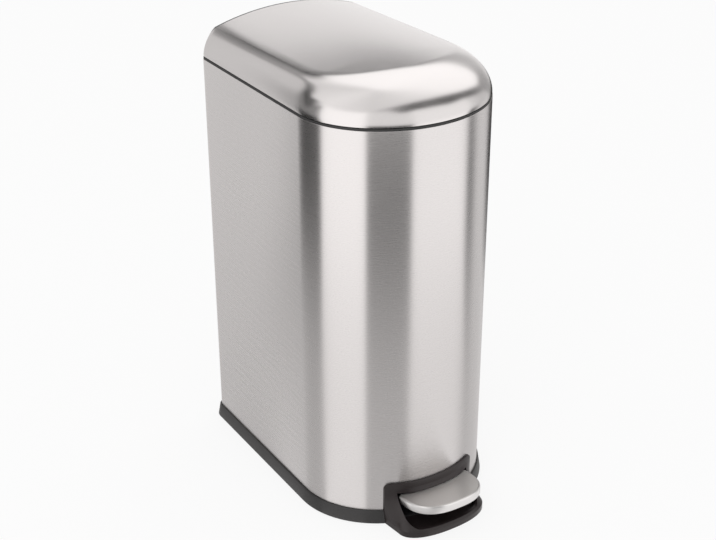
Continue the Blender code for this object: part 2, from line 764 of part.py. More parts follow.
def inner_bucket():
    """The tapered bucket hangs by its rim on the collar's ledge and has a grip in each side."""
    rim_out = -COLLAR_INNER - BUCKET_RIM_GAP
    wall_out = -COLLAR_INNER - LEDGE_WIDTH - BUCKET_RIM_GAP
    rear = CHANNEL_FRONT_Y - BUCKET_REAR_GAP - BUCKET_RIM_GAP
    rim_rear = CHANNEL_FRONT_Y - FIT_GAP
    bottom = DECK_TOP + FIT_GAP
    rim_bottom = LEDGE_TOP + FIT_GAP
    rim_top = rim_bottom + BUCKET_RIM
    corner = BUCKET_CORNER_RADIUS

    def ring(out, rear_y, z):
        return [(x, y, z) for x, y in plan(out, rear_y, corner)]

    body = loft(
        "inner_bucket",
        [
            ring(wall_out - BUCKET_TAPER, rear - BUCKET_TAPER, bottom),
            ring(wall_out, rear, rim_bottom),
            ring(rim_out, rim_rear, rim_bottom),
            ring(rim_out, rim_rear, rim_top),
        ],
        BUCKET_LOOK,
    )
    hollow_out = wall_out - BUCKET_WALL
    hollow = loft(
        "bucket_hollow",
        [
            ring(hollow_out - BUCKET_TAPER, rear - BUCKET_WALL - BUCKET_TAPER, bottom + BUCKET_WALL),
            ring(hollow_out, rear - BUCKET_WALL, rim_bottom),
            ring(hollow_out, rear - BUCKET_WALL, rim_top + CUT_OVERRUN),
        ],
        BUCKET_LOOK,
    )
    grips = box(
        "bucket_grips",
        (-BODY_WIDTH, PLAN_Y - GRIP_LENGTH / 2, rim_bottom - GRIP_DROP - GRIP_HEIGHT),
        (BODY_WIDTH, PLAN_Y + GRIP_LENGTH / 2, rim_bottom - GRIP_DROP),
        BUCKET_LOOK,
    )
    cut(body, hollow, grips)


def crown_radius(y):
    """The crown's radius across the lid, which is larger over the nose than at the rear."""
    start = FRONT_Y + ARCH_DEPTH
    share = min(max((y - start) / (REAR_Y - start), 0.0), 1.0)
    return 1 / ((1 - share) / CROWN_FRONT_RADIUS + share / CROWN_REAR_RADIUS)


def crown_drop(x, y):
    """How far the lid's crown falls off at a place from its top line."""
    radius = crown_radius(y)
    return radius - sqrt(radius**2 - x**2)


def lid_stations(inset):
    """The lid's rim line and the line where its roll meets the crown, from the nose to the rear."""
    half_width = BODY_WIDTH / 2 - LID_INSET - inset
    rim_inset = LID_INSET + inset
    rim = arch(half_width, FRONT_Y + rim_inset, ARCH_DEPTH - rim_inset)
    crown = arch(BODY_WIDTH / 2 - ROLL_WIDTH, FRONT_Y + NOSE_LENGTH, NOSE_ARCH_DEPTH)
    rear = REAR_Y - LID_INSET - REAR_CAP - FIT_GAP
    corner_start = REAR_Y - REAR_CORNER_RADIUS
    rim_start = rim[-1][1]
    crown_x, crown_start = crown[-1]
    for i in range(1, SIDE_STEPS + 1):
        share = i / SIDE_STEPS
        rim.append((half_width, rim_start + (corner_start - rim_start) * share))
        crown.append((crown_x, crown_start + (corner_start - crown_start) * share))
    for y in ((corner_start + rear) / 2, rear):
        rim.append((rear_half_width(y, LID_INSET + inset), y))
        crown.append((crown_x, y))
    return rim, crown


def rear_half_width(y, inset):
    """Half the width of the plan, drawn in by inset, at a place in its rear corner."""
    corner = REAR_CORNER_RADIUS - inset
    centre = REAR_Y - REAR_CORNER_RADIUS
    reach = min(max(y - centre, 0.0), corner)
    return BODY_WIDTH / 2 - inset - corner + sqrt(corner**2 - reach**2)


def roll_row(rim_point, crown_point, inset, bottom):
    """Points from the lid's rim up its side and over the roll to the crown's edge."""
    rim = Vector((*rim_point, bottom + LID_SKIRT))
    top_z = LID_TOP - inset - crown_drop(*crown_point)
    crown = Vector((*crown_point, top_z))
    slope = crown.x / sqrt(crown_radius(crown.y) ** 2 - crown.x**2)
    toward = Vector((rim.x - crown.x, rim.y - crown.y, -(rim.x - crown.x) * slope))
    width = hypot(toward.x, toward.y)
    # The crease is full along the straight sides and fades towards the nose
    toward.z -= width * tan(LID_CREASE) * crown.x / (BODY_WIDTH / 2 - ROLL_WIDTH)
    over = crown + toward * ROLL_TOP_SHARE
    lean = LID_LEAN / width
    under = Vector((rim.x - toward.x * lean, rim.y - toward.y * lean, 0))
    under.z = rim.z + (top_z - rim.z) * ROLL_SIDE_SHARE
    row = [Vector((*rim_point, bottom))]
    for i in range(ROLL_STEPS + 1):
        t = i / ROLL_STEPS
        s = 1 - t
        row.append(s**3 * rim + 3 * s * s * t * under + 3 * s * t * t * over + t**3 * crown)
    return row


def lid_section(rim_point, crown_point, inset, bottom):
    """A whole row across the lid, from its right rim over the crown to its left rim."""
    right = roll_row(rim_point, crown_point, inset, bottom)
    edge_x, y = crown_point
    middle = []
    for i in range(1, CROWN_STEPS):
        x = edge_x * (1 - 2 * i / CROWN_STEPS)
        middle.append(Vector((x, y, LID_TOP - inset - crown_drop(x, y))))
    left = [Vector((-p.x, p.y, p.z)) for p in reversed(right)]
    return right + middle + left


def lid_surface(inset):
    rim, crown = lid_stations(inset)
    return [lid_section(r, c, inset, LID_BOTTOM) for r, c in zip(rim, crown)]


def lid_shell(carrier):
    """Pressed steel: an outer and an inner surface, joined along the rim and the open rear."""
    surfaces = [lid_surface(0.0), lid_surface(STEEL)]
    rows = len(surfaces[0])
    width = len(surfaces[0][0])
    points = [p for surface in surfaces for row in surface for p in row]

    def at(side, row, column):
        return (side * rows + row) * width + column

    faces = []
    for side in (0, 1):
        for r in range(rows - 1):
            for c in range(width - 1):
                near = (at(side, r, c), at(side, r, c + 1))
                quad = (*near, at(side, r + 1, c + 1), at(side, r + 1, c))
                faces.append(quad if side == 0 else quad[::-1])
    for r in range(rows - 1):
        for c in (0, width - 1):
            faces.append((at(0, r, c), at(0, r + 1, c), at(1, r + 1, c), at(1, r, c)))
    last = rows - 1
    for c in range(width - 1):
        faces.append((at(0, last, c), at(0, last, c + 1), at(1, last, c + 1), at(1, last, c)))
    return solid("lid_shell", points, faces, STEEL_LOOK, carrier)


def lid_rear_cap(carrier):
    """The plastic wall that closes the lid's rear and carries its hinge knuckles."""
    rear = REAR_Y - LID_INSET
    crown_x = BODY_WIDTH / 2 - ROLL_WIDTH
    rings = []
    for y in (rear - REAR_CAP, rear - REAR_CAP / 2, rear - FIT_GAP):
        half_width = rear_half_width(y, LID_INSET)
        rings.append(lid_section((half_width, y), (crown_x, y), 0.0, LID_BOTTOM))
    cap = loft("lid_rear_cap", rings, PLASTIC_LOOK, carrier)
    for side, sign in SIDES:
        join(cap, hinge_knuckle("lid_knuckle_" + side, sign, 1, True, carrier))
        cut(cap, hinge_bore("lid_bore_" + side, sign, 1, carrier))


def hinge_pins(carrier):
    for side, sign in SIDES:
        ends = knuckle_span(sign, 0) + knuckle_span(sign, 1)
        rod_x(
            "hinge_pin_" + side,
            HINGE_Y,
            HINGE_Z,
            HINGE_PIN_RADIUS,
            min(ends),
            max(ends),
            ZINC_LOOK,
            carrier,
        )


def lid_liner(carrier):
    """A panel inside the lid with a low rim all round it."""
    inset = LID_INSET + STEEL + LINER_SIDE_GAP
    rear = REAR_Y - LID_INSET - REAR_CAP - FIT_GAP
    top = LINER_BOTTOM + LINER_HEIGHT
    outline = plan(-inset, rear, REAR_CORNER_RADIUS)
    panel = prism_z("lid_liner", outline, LINER_BOTTOM, top, PLASTIC_LOOK, carrier)
    inner = plan(-inset - LINER_THICKNESS, rear - LINER_THICKNESS, REAR_CORNER_RADIUS)
    hollow = prism_z(
        "liner_hollow",
        inner,
        LINER_BOTTOM + LINER_THICKNESS,
        top + CUT_OVERRUN,
        PLASTIC_LOOK,
        carrier,
    )
    cut(panel, hollow)


def crank_arm(name, left, right, carrier):
    """A plate that hangs from the bracket and ends in a round boss about the crank pin."""
    front = BRACKET_REAR_Y - BRACKET_LENGTH
    bottom = BRACKET_TOP - BRACKET_THICKNESS
    points = [(BRACKET_REAR_Y, BRACKET_TOP), (front, BRACKET_TOP), (front, bottom)]
    for i in range(SMALL_ROUND_STEPS + 1):
        angle = pi + pi * i / SMALL_ROUND_STEPS
        y = CRANK_Y + CRANK_BOSS_RADIUS * cos(angle)
        points.append((y, CRANK_Z + CRANK_BOSS_RADIUS * sin(angle)))
    points.append((BRACKET_REAR_Y, bottom))
    return prism_x(name, points, left, right, ZINC_LOOK, carrier)


def lid_bracket(carrier):
    """The steel plate under the lid with the two crank arms."""
    bottom = BRACKET_TOP - BRACKET_THICKNESS
    plate = box(
        "lid_bracket",
        (-BRACKET_HALF_WIDTH, BRACKET_REAR_Y - BRACKET_LENGTH, bottom),
        (BRACKET_HALF_WIDTH, BRACKET_REAR_Y, BRACKET_TOP),
        ZINC_LOOK,
        carrier,
    )
    for side, sign in SIDES:
        ends = sorted((sign * ARM_INNER_X, sign * (ARM_INNER_X + CRANK_ARM)))
        arm = crank_arm("crank_arm_" + side, *ends, carrier)
        join(plate, arm)
    bore = rod_x(
        "crank_bore",
        CRANK_Y,
        CRANK_Z,
        CRANK_PIN_RADIUS + FIT_GAP,
        -BRACKET_HALF_WIDTH,
        BRACKET_HALF_WIDTH,
        ZINC_LOOK,
        carrier,
    )
    cut(plate, bore)
    for place, x, y in bracket_screw_places():
        hole = rod_z(
            "screw_hole_" + place,
            x,
            y,
            SCREW_RADIUS + FIT_GAP,
            bottom - CUT_OVERRUN,
            BRACKET_TOP + CUT_OVERRUN,
            ZINC_LOOK,
            carrier,
            steps=SMALL_ROUND_STEPS,
        )
        cut(plate, hole)


def bracket_screw_places():
    quarter = BRACKET_LENGTH / 4
    places = []
    for end, y in (("rear", BRACKET_REAR_Y - quarter), ("front", BRACKET_REAR_Y - 3 * quarter)):
        for side, sign in SIDES:
            places.append((end + "_" + side, sign * BRACKET_SCREW_X, y))
    return places


def bracket_screws(carrier):
    head_top = BRACKET_TOP - BRACKET_THICKNESS - FIT_GAP
    for place, x, y in bracket_screw_places():
        outline = (
            (SCREW_HEAD_RADIUS, head_top - SCREW_HEAD),
            (SCREW_HEAD_RADIUS, head_top),
            (SCREW_RADIUS, head_top),
            (SCREW_RADIUS, head_top + BRACKET_THICKNESS),
        )
        rings = [[(px, py, z) for px, py in circle((x, y), r, SMALL_ROUND_STEPS)] for r, z in outline]
        loft("bracket_screw_" + place, rings, ZINC_LOOK, carrier)


def crank_pin(carrier):
    reach = ARM_INNER_X + CRANK_ARM
    rod_x("crank_pin", CRANK_Y, CRANK_Z, CRANK_PIN_RADIUS, -reach, reach, ZINC_LOOK, carrier)


def lid_bumpers(carrier):
    """Soft stops under the liner that come to rest on the band."""
    setback = COLLAR_EDGE_INSET + BUMPER_SETBACK
    side_x = BODY_WIDTH / 2 - setback
    edge_inset = LID_INSET + STEEL + 2 * FIT_GAP
    places = {"front": (0, FRONT_Y + setback), "left": (-side_x, PLAN_Y), "right": (side_x, PLAN_Y)}
    for name, (x, y) in places.items():
        low = (x - BUMPER_REACH, y - BUMPER_REACH, BAND_TOP + FIT_GAP)
        high = (x + BUMPER_REACH, y + BUMPER_REACH, BRACKET_TOP)
        pad = box("lid_bumper_" + name, low, high, RUBBER_LOOK, carrier)
        outside = tube(
            "bumper_trim_" + name,
            plan(BUMPER_REACH + CUT_OVERRUN),
            plan(-edge_inset),
            BAND_TOP - CUT_OVERRUN,
            BRACKET_TOP + CUT_OVERRUN,
            RUBBER_LOOK,
            carrier,
        )
        cut(pad, outside)


def pedal_half_plan(inset):
    half_width = MOUTH_HALF_WIDTH - PEDAL_SIDE_GAP - inset
    return arch(
        half_width,
        FRONT_Y - PEDAL_REACH + inset,
        PEDAL_ARCH_DEPTH - inset,
        PEDAL_SQUARE_SHARE,
    )


def pedal_top(y):
    """The tread's height, which falls from its front to its rear."""
    front = FRONT_Y - PEDAL_REACH
    share = (y - front) / (PEDAL_REAR_Y - front)
    return PEDAL_FRONT_TOP + (PEDAL_REAR_TOP - PEDAL_FRONT_TOP) * share


def pedal_block(name, inset, depth, rear, look, carrier):
    """The pedal's plan between its sloping top, less inset on every side, and a depth below it."""
    half = pedal_half_plan(inset)
    outline = mirrored(half + [(half[-1][0], rear)])
    rings = [[(x, y, pedal_top(y) - drop) for x, y in outline] for drop in (depth, inset)]
    return loft(name, rings, look, carrier)


def pedal_plate(carrier):
    """The steel tread with its turned-down lip, open below and behind."""
    plate = pedal_block("pedal_plate", 0.0, PEDAL_LIP, PEDAL_REAR_Y, STEEL_LOOK, carrier)
    inside = pedal_block(
        "pedal_inside",
        PEDAL_SHEET,
        PEDAL_LIP + CUT_OVERRUN,
        PEDAL_REAR_Y + CUT_OVERRUN,
        STEEL_LOOK,
        carrier,
    )
    cut(plate, inside)


def pedal_carrier(carrier):
    """The plastic body under the tread, with a tongue between the lever bars."""
    inset = PEDAL_SHEET + FIT_GAP
    depth = PEDAL_LIP - CARRIER_RISE
    body = pedal_block("pedal_carrier", inset, depth, PEDAL_REAR_Y, PLASTIC_LOOK, carrier)
    half_width = LEVER_HALF_GAP - FIT_GAP
    half_height = LEVER_BAR_HEIGHT / 2 - FIT_GAP
    start, end = BAR_FRONT_Y, PEDAL_REAR_Y + CARRIER_TONGUE
    tongue_side = [(start, bar_z(start) - half_height), (end, bar_z(end) - half_height)]
    tongue_side += [(end, bar_z(end) + half_height), (start, bar_z(start) + half_height)]
    tongue = prism_x(
        "carrier_tongue", tongue_side, -half_width, half_width, PLASTIC_LOOK, carrier
    )
    join(body, tongue)
    for side, sign in SIDES:
        left, right = sorted((sign * half_width, sign * BAR_SIDE))
        slot = box(
            "carrier_slot_" + side,
            (left, BAR_FRONT_Y, BAR_FRONT_Z - LEVER_BAR_HEIGHT),
            (right, PEDAL_REAR_Y + CUT_OVERRUN, PEDAL_FRONT_TOP),
            PLASTIC_LOOK,
            carrier,
        )
        cut(body, slot)
    for name, y in rivet_places():
        hole = rod_x(
            "rivet_hole_" + name,
            y,
            bar_z(y),
            RIVET_RADIUS + FIT_GAP,
            -BAR_SIDE,
            BAR_SIDE,
            PLASTIC_LOOK,
            carrier,
        )
        cut(body, hole)


def bar_line():
    """The middle line of a lever bar: pedal end, axle, push rod end."""
    pedal_end = (BAR_FRONT_Y + FIT_GAP, BAR_FRONT_Z)
    return pedal_end, (AXLE_Y, AXLE_Z), (LEVER_PIN_Y, LEVER_PIN_Z)


def rivet_places():
    quarter = CARRIER_TONGUE / 4
    return (("front", PEDAL_REAR_Y + quarter), ("rear", PEDAL_REAR_Y + 3 * quarter))


def bar_z(y):
    """The height of the lever bars' middle line between the pedal and the axle."""
    (y0, z0), (y1, z1), _ = bar_line()
    return z0 + (z1 - z0) * (y - y0) / (y1 - y0)


def lever_bars(carrier):
    half = LEVER_BAR_HEIGHT / 2
    (front, front_z), (axle, axle_z), (pin, pin_z) = bar_line()
    points = [(front, front_z - half), (axle, axle_z - half), (pin, pin_z - half)]
    for i in range(1, ARC_STEPS):
        angle = -pi / 2 + pi * i / ARC_STEPS
        points.append((pin + half * cos(angle), pin_z + half * sin(angle)))
    points += [(pin, pin_z + half), (axle, axle_z + half), (front, front_z + half)]
    for side, sign in SIDES:
        left, right = sorted((sign * LEVER_HALF_GAP, sign * (LEVER_HALF_GAP + LEVER_BAR)))
        bar = prism_x("lever_bar_" + side, points, left, right, ZINC_LOOK, carrier)
        bores = [("axle", AXLE_Y, AXLE_Z, AXLE_RADIUS), ("pin", pin, pin_z, LEVER_PIN_RADIUS)]
        bores += [("rivet_" + name, y, bar_z(y), RIVET_RADIUS) for name, y in rivet_places()]
        for name, y, z, radius in bores:
            hole = rod_x(
                "bar_" + side + "_hole_" + name,
                y,
                z,
                radius + FIT_GAP,
                left - CUT_OVERRUN / 2,
                right + CUT_OVERRUN / 2,
                ZINC_LOOK,
                carrier,
            )
            cut(bar, hole)


def rivets(carrier):
    for name, y in rivet_places():
        rivet = rod_x(
            "pedal_rivet_" + name,
            y,
            bar_z(y),
            RIVET_RADIUS,
            -BAR_SIDE - RIVET_HEAD,
            BAR_SIDE + RIVET_HEAD,
            ZINC_LOOK,
            carrier,
            steps=SMALL_ROUND_STEPS,
        )
        for side, sign in SIDES:
            ends = sorted((sign * BAR_SIDE, sign * (BAR_SIDE + RIVET_HEAD)))
            head = rod_x(
                "rivet_head_" + name + "_" + side,
                y,
                bar_z(y),
                RIVET_HEAD_RADIUS,
                *ends,
                ZINC_LOOK,
                carrier,
                steps=SMALL_ROUND_STEPS,
            )
            join(rivet, head)


def pedal_axle(carrier):
    reach = CLIP_X + CLIP_WIDTH + AXLE_END
    rod_x("pedal_axle", AXLE_Y, AXLE_Z, AXLE_RADIUS, -reach, reach, ZINC_LOOK, carrier)
    spacer_end = SADDLE_X - SADDLE_WIDTH / 2 - FIT_GAP
    for side, sign in SIDES:
        rings = (
            ("axle_spacer_", BAR_SIDE, spacer_end, SPACER_RADIUS, PLASTIC_LOOK),
            ("axle_clip_", CLIP_X, CLIP_X + CLIP_WIDTH, CLIP_RADIUS, ZINC_LOOK),
        )
        for name, near, far, radius, look in rings:
            left, right = sorted((sign * near, sign * far))
            ring = rod_x(name + side, AXLE_Y, AXLE_Z, radius, left, right, look, carrier)
            bore = rod_x(
                name + side + "_bore",
                AXLE_Y,
                AXLE_Z,
                AXLE_RADIUS + FIT_GAP,
                left - CUT_OVERRUN,
                right + CUT_OVERRUN,
                look,
                carrier,
            )
            cut(ring, bore)


def lever_pin(carrier):
    rod_x(
        "lever_pin",
        LEVER_PIN_Y,
        LEVER_PIN_Z,
        LEVER_PIN_RADIUS,
        -BAR_SIDE,
        BAR_SIDE,
        ZINC_LOOK,
        carrier,
    )


def slot_points(y, z, half_length, half_height):
    """A slot with round ends that runs along Y."""
    straight = half_length - half_height
    points = []
    for end_y, start in ((y + straight, -pi / 2), (y - straight, pi / 2)):
        for i in range(SMALL_ROUND_STEPS + 1):
            angle = start + pi * i / SMALL_ROUND_STEPS
            points.append((end_y + half_height * cos(angle), z + half_height * sin(angle)))
    return points


def crank_slot_play():
    """How far the crank pin strays from the rod's even travel, at most, in height."""
    ratio = sin(HALF_SWING) / HALF_SWING
    worst = acos(ratio)
    return CRANK_RADIUS * (sin(worst) - ratio * worst)


def push_rod(carrier):
    """The rod with a slotted link at each end."""
    link_half_height = CRANK_PIN_RADIUS + crank_slot_play() + FIT_GAP
    link_half_slot = CRANK_PIN_RADIUS + CRANK_RADIUS * (1 - cos(HALF_SWING)) / 2 + FIT_GAP
    link_low = CRANK_Z - link_half_height - LINK_WALL - ROD_END_DEPTH
    link_high = CRANK_Z + link_half_height + LINK_WALL
    link_side = max(LINK_WIDTH / 2, link_half_slot + LINK_WALL)
    link = box(
        "rod_top_link",
        (-LINK_THICKNESS / 2, ROD_Y - link_side, link_low),
        (LINK_THICKNESS / 2, ROD_Y + link_side, link_high),
        ZINC_LOOK,
        carrier,
    )
    slot = slot_points(ROD_Y, CRANK_Z, link_half_slot, link_half_height)
    cut(link, prism_x("link_slot", slot, -LINK_THICKNESS, LINK_THICKNESS, ZINC_LOOK, carrier))

    reach = hypot(LEVER_PIN_Y - AXLE_Y, ROD_STROKE / 2)
    eye_half_height = LEVER_PIN_RADIUS + FIT_GAP
    eye_half_slot = LEVER_PIN_RADIUS + reach - (LEVER_PIN_Y - AXLE_Y) + FIT_GAP
    eye_high = LEVER_PIN_Z + eye_half_height + LINK_WALL + ROD_END_DEPTH
    eye = box(
        "rod_bottom_eye",
        (-EYE_HALF_THICKNESS, ROD_Y - EYE_WIDTH / 2, LEVER_PIN_Z - eye_half_height - LINK_WALL),
        (EYE_HALF_THICKNESS, ROD_Y + EYE_WIDTH / 2, eye_high),
        ZINC_LOOK,
        carrier,
    )
    slot = slot_points(LEVER_PIN_Y, LEVER_PIN_Z, eye_half_slot, eye_half_height)
    cut(eye, prism_x("eye_slot", slot, -LINK_THICKNESS, LINK_THICKNESS, ZINC_LOOK, carrier))

    rod_bottom = eye_high - ROD_END_DEPTH + FIT_GAP
    rod_top = link_low + ROD_END_DEPTH - FIT_GAP
    rod_z("push_rod", 0, ROD_Y, ROD_RADIUS, rod_bottom, rod_top, ZINC_LOOK, carrier)
    sockets = (
        (link, "link_socket", link_low - CUT_OVERRUN, link_low + ROD_END_DEPTH),
        (eye, "eye_socket", eye_high - ROD_END_DEPTH, eye_high + CUT_OVERRUN),
    )
    for obj, name, low, high in sockets:
        cut(obj, rod_z(name, 0, ROD_Y, ROD_RADIUS + FIT_GAP, low, high, ZINC_LOOK, carrier))


def pedal_swing():
    """How far the pedal turns while the lid opens fully."""
    return 2 * asin(ROD_STROKE / 2 / hypot(LEVER_PIN_Y - AXLE_Y, ROD_STROKE / 2))


def build():
    clear_scene()
    outer_shell()
    base_pan()
    feet()
    pedal_bezel()
    top_collar()
    raised_floor()
    rod_channel_cover()
    rod_guides()
    axle_saddles()
    inner_bucket()

    lid_axis = axis_empty("lid_axis", (0, HINGE_Y, HINGE_Z))
    lid_shell(lid_axis)
    lid_rear_cap(lid_axis)
    lid_liner(lid_axis)
    lid_bracket(lid_axis)
    bracket_screws(lid_axis)
    crank_pin(lid_axis)
    hinge_pins(lid_axis)
    lid_bumpers(lid_axis)

    pedal_axis = axis_empty("pedal_axis", (0, AXLE_Y, AXLE_Z))
    pedal_plate(pedal_axis)
    pedal_carrier(pedal_axis)
    lever_bars(pedal_axis)
    rivets(pedal_axis)
    pedal_axle(pedal_axis)
    lever_pin(pedal_axis)

    rod_line = axis_empty("rod_line", (0, ROD_Y, CRANK_Z))
    push_rod(rod_line)

    # The joints' places, ranges and ratios, as the record states them
    print("hinge", HINGE_Y, HINGE_Z, "swing", LID_SWING)
    print("axle", AXLE_Y, AXLE_Z, "swing", pedal_swing(), "ratio", pedal_swing() / LID_SWING)
    print("rod", ROD_Y, "stroke", ROD_STROKE, "ratio", ROD_STROKE / LID_SWING)


build()
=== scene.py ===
"""Looks of the pedal bin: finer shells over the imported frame, procedural materials,
studio light and the photo's camera."""

import json
from math import atan2, cos, degrees, hypot, pi, radians, sin, sqrt, tan

import bmesh
import bpy
from mathutils import Matrix, Vector

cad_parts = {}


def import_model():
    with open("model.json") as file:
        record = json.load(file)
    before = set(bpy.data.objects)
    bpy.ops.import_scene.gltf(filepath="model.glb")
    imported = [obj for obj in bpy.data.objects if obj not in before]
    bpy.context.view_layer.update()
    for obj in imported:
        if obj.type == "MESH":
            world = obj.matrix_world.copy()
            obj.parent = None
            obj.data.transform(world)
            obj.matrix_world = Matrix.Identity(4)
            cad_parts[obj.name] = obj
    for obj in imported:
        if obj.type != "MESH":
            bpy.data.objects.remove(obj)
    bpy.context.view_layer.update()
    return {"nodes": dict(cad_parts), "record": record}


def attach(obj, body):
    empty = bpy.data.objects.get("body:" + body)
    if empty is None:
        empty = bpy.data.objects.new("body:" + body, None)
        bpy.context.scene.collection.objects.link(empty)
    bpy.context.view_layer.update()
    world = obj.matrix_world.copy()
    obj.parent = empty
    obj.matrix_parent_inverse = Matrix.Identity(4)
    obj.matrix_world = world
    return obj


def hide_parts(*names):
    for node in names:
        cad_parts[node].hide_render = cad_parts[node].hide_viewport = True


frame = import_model()

# Sizes that the solids have too, in metres
BODY_WIDTH = 0.270
BODY_DEPTH = 0.385
ARCH_DEPTH = 0.118
REAR_CORNER_RADIUS = 0.013
STEEL = 0.0006
FIT_GAP = 0.0003
PLAN_Y = 0.02525
FRONT_Y = PLAN_Y - BODY_DEPTH / 2
REAR_Y = PLAN_Y + BODY_DEPTH / 2
SHELL_EDGE = 0.0002
SHELL_BOTTOM = 0.008
SHELL_TOP = 0.5735
BAND_TOP = SHELL_TOP + 0.0030
LID_BOTTOM = BAND_TOP + 0.0012
BASE_BOTTOM = 0.0015
PAN_TOP = BASE_BOTTOM + 0.003
SKIRT_TOP = 0.021
SKIRT_TOP_OUT = 0.0020
SKIRT_BOTTOM_OUT = 0.0055
SKIRT_ROUND = 0.0006
UPSTAND_WIDTH = 0.003
HINGE_Y = 0.22275
HINGE_Z = 0.5750
KNUCKLE_RADIUS = 0.0045
KNUCKLE_LENGTH = 0.015
KNUCKLE_INNER_X = 0.050
PIN_RADIUS = 0.0020
BAND_EDGE = 0.0005
COLLAR_EDGE_INSET = 0.0004
COLLAR_INNER = STEEL + FIT_GAP + 0.0024
LEDGE_WIDTH = 0.0075
LEDGE_TOP = BAND_TOP - 0.013
LEDGE_BOTTOM = LEDGE_TOP - 0.0025
COLLAR_SKIRT_BOTTOM = LEDGE_BOTTOM - 0.018
CHANNEL_FRONT_Y = 0.17429
CRANK_WELL = ((-0.016, 0.17755), (0.016, 0.21415))
BUCKET_CORNER_RADIUS = 0.014
BUCKET_WALL = 0.0018
BUCKET_RIM = 0.0025
BUCKET_RIM_GAP = 0.0008
BUCKET_TAPER = 0.002
BUCKET_REAR_GAP = 0.004
BUCKET_FOOT_ROUND = 0.0060
BUCKET_RIM_ROUND = 0.0006
GRIP_LENGTH = 0.090
GRIP_HEIGHT = 0.022
GRIP_DROP = 0.016
GRIP_ROUND = 0.010
DECK_TOP = 0.075
LINER_BOTTOM = LID_BOTTOM + 0.0012
LINER_HEIGHT = 0.0038
LINER_THICKNESS = 0.0020
LINER_SIDE_GAP = 0.0011
LINER_EDGE = 0.0005
LINER_STEP = 0.0007
LINER_BORDER = 0.014

LID_TOP = LID_BOTTOM + 0.0516
CROWN_REAR_RADIUS = 0.366
CROWN_FRONT_RADIUS = 0.600
LID_INSET = 0.0006
LID_SKIRT = 0.002
LID_LEAN = 0.002
LID_CREASE = radians(8)
ROLL_WIDTH = 0.0255
NOSE_LENGTH = 0.070
NOSE_ARCH_DEPTH = 0.078
ROLL_TOP_SHARE = 0.56
ROLL_SIDE_SHARE = 0.48
REAR_CAP = 0.0025
REAR_CAP_SHARES = (1.0, 0.6, 0.3)

BEZEL_REACH = 0.0465
BEZEL_HALF_WIDTH = 0.0715
BEZEL_TOP = 0.0640
BEZEL_CORNER = 0.0080
BEZEL_FLANGE = 0.0030
BEZEL_FLOOR = 0.003
BEZEL_LIP_TOP = 0.0125
BEZEL_LIP_WIDTH = 0.0075
SCOOP_HALF_WIDTH = 0.068
SCOOP_FLARE = 0.0035
SCOOP_ARCH_DEPTH = 0.0315
SCOOP_SQUARE_SHARE = 0.87
MOUTH_TOP = 0.0510
MOUTH_HALF_WIDTH = 0.0577
MOUTH_CORNER = 0.0120
BEZEL_EDGE = 0.0016
DOORWAY_HALF_WIDTH = 0.064
DOORWAY_TOP = 0.057
# Heights and shares of the scoop's swell
SWELL_SHARES = (
    (BASE_BOTTOM, 1.0),
    (0.0095, 1.0),
    (BEZEL_LIP_TOP, 0.93),
    (0.0155, 0.84),
    (0.03175, 0.48),
    (MOUTH_TOP, 0.14),
    (BEZEL_TOP - BEZEL_CORNER, 0.06),
)
# How much of the swell's share is lost over the flange's round corners
SWELL_CORNER_SHARE = 0.09

PEDAL_REACH = 0.060
PEDAL_ARCH_DEPTH = 0.053
PEDAL_SQUARE_SHARE = 0.77
PEDAL_SIDE_GAP = 0.0015
PEDAL_FRONT_TOP = 0.0574
PEDAL_REAR_TOP = 0.0488
PEDAL_LIP = 0.0121
PEDAL_SHEET = 0.0012
PEDAL_TUCK = 0.003
TREAD_EDGE = 0.0030
TREAD_HEM = 0.0002
TREAD_HEM_HEIGHT = 0.0003
TREAD_HOLLOW_DROP = 0.001

# How far cutters reach past what they cut, and how deep they go into the body
CUT_OVERRUN = 0.010
BORE_OVERRUN = 0.002
CUT_DEPTH = 0.100
BASE_CUT_TOP = 0.030

# Light: the world, the floor's glow, and a tent that only reflections show, with azimuths in
# degrees (0 in front of the bin, + to its right) and heights in metres
WORLD_LEVEL = 0.85
FLOOR_GLOW_SHARE = 0.85
TENT_RADIUS = 0.70
TENT_TOP = 1.60
TENT_EDGE = 2.0
TENT_FADE = 0.04
TENT_CARD_TOP = 0.48
TENT_FOOT = 0.22
FOOT_LIMIT = 0.50
# azimuth from, azimuth to, levels of the floor, the lower wall and the upper wall
TENT_CARDS = (
    (-190, -150, 0.85, 0.90, 0.85),
    (-150, -142, 0.74, 0.80, 0.88),
    (-142, -134, 0.88, 0.98, 0.88),
    (-134, -92, 0.66, 0.02, 0.30),
    (-92, -41, 1.12, 1.50, 1.50),
    (-41, -1, 0.70, 0.12, 1.05),
    (-1, 54, 1.04, 1.38, 1.25),
    (54, 61, 0.86, 0.02, 1.00),
    (61, 67, 0.64, 0.36, 0.90),
    (67, 95, 0.78, 0.86, 0.80),
    (95, 122, 0.84, 0.00, 0.90),
    (122, 190, 0.90, 1.00, 1.10),
)
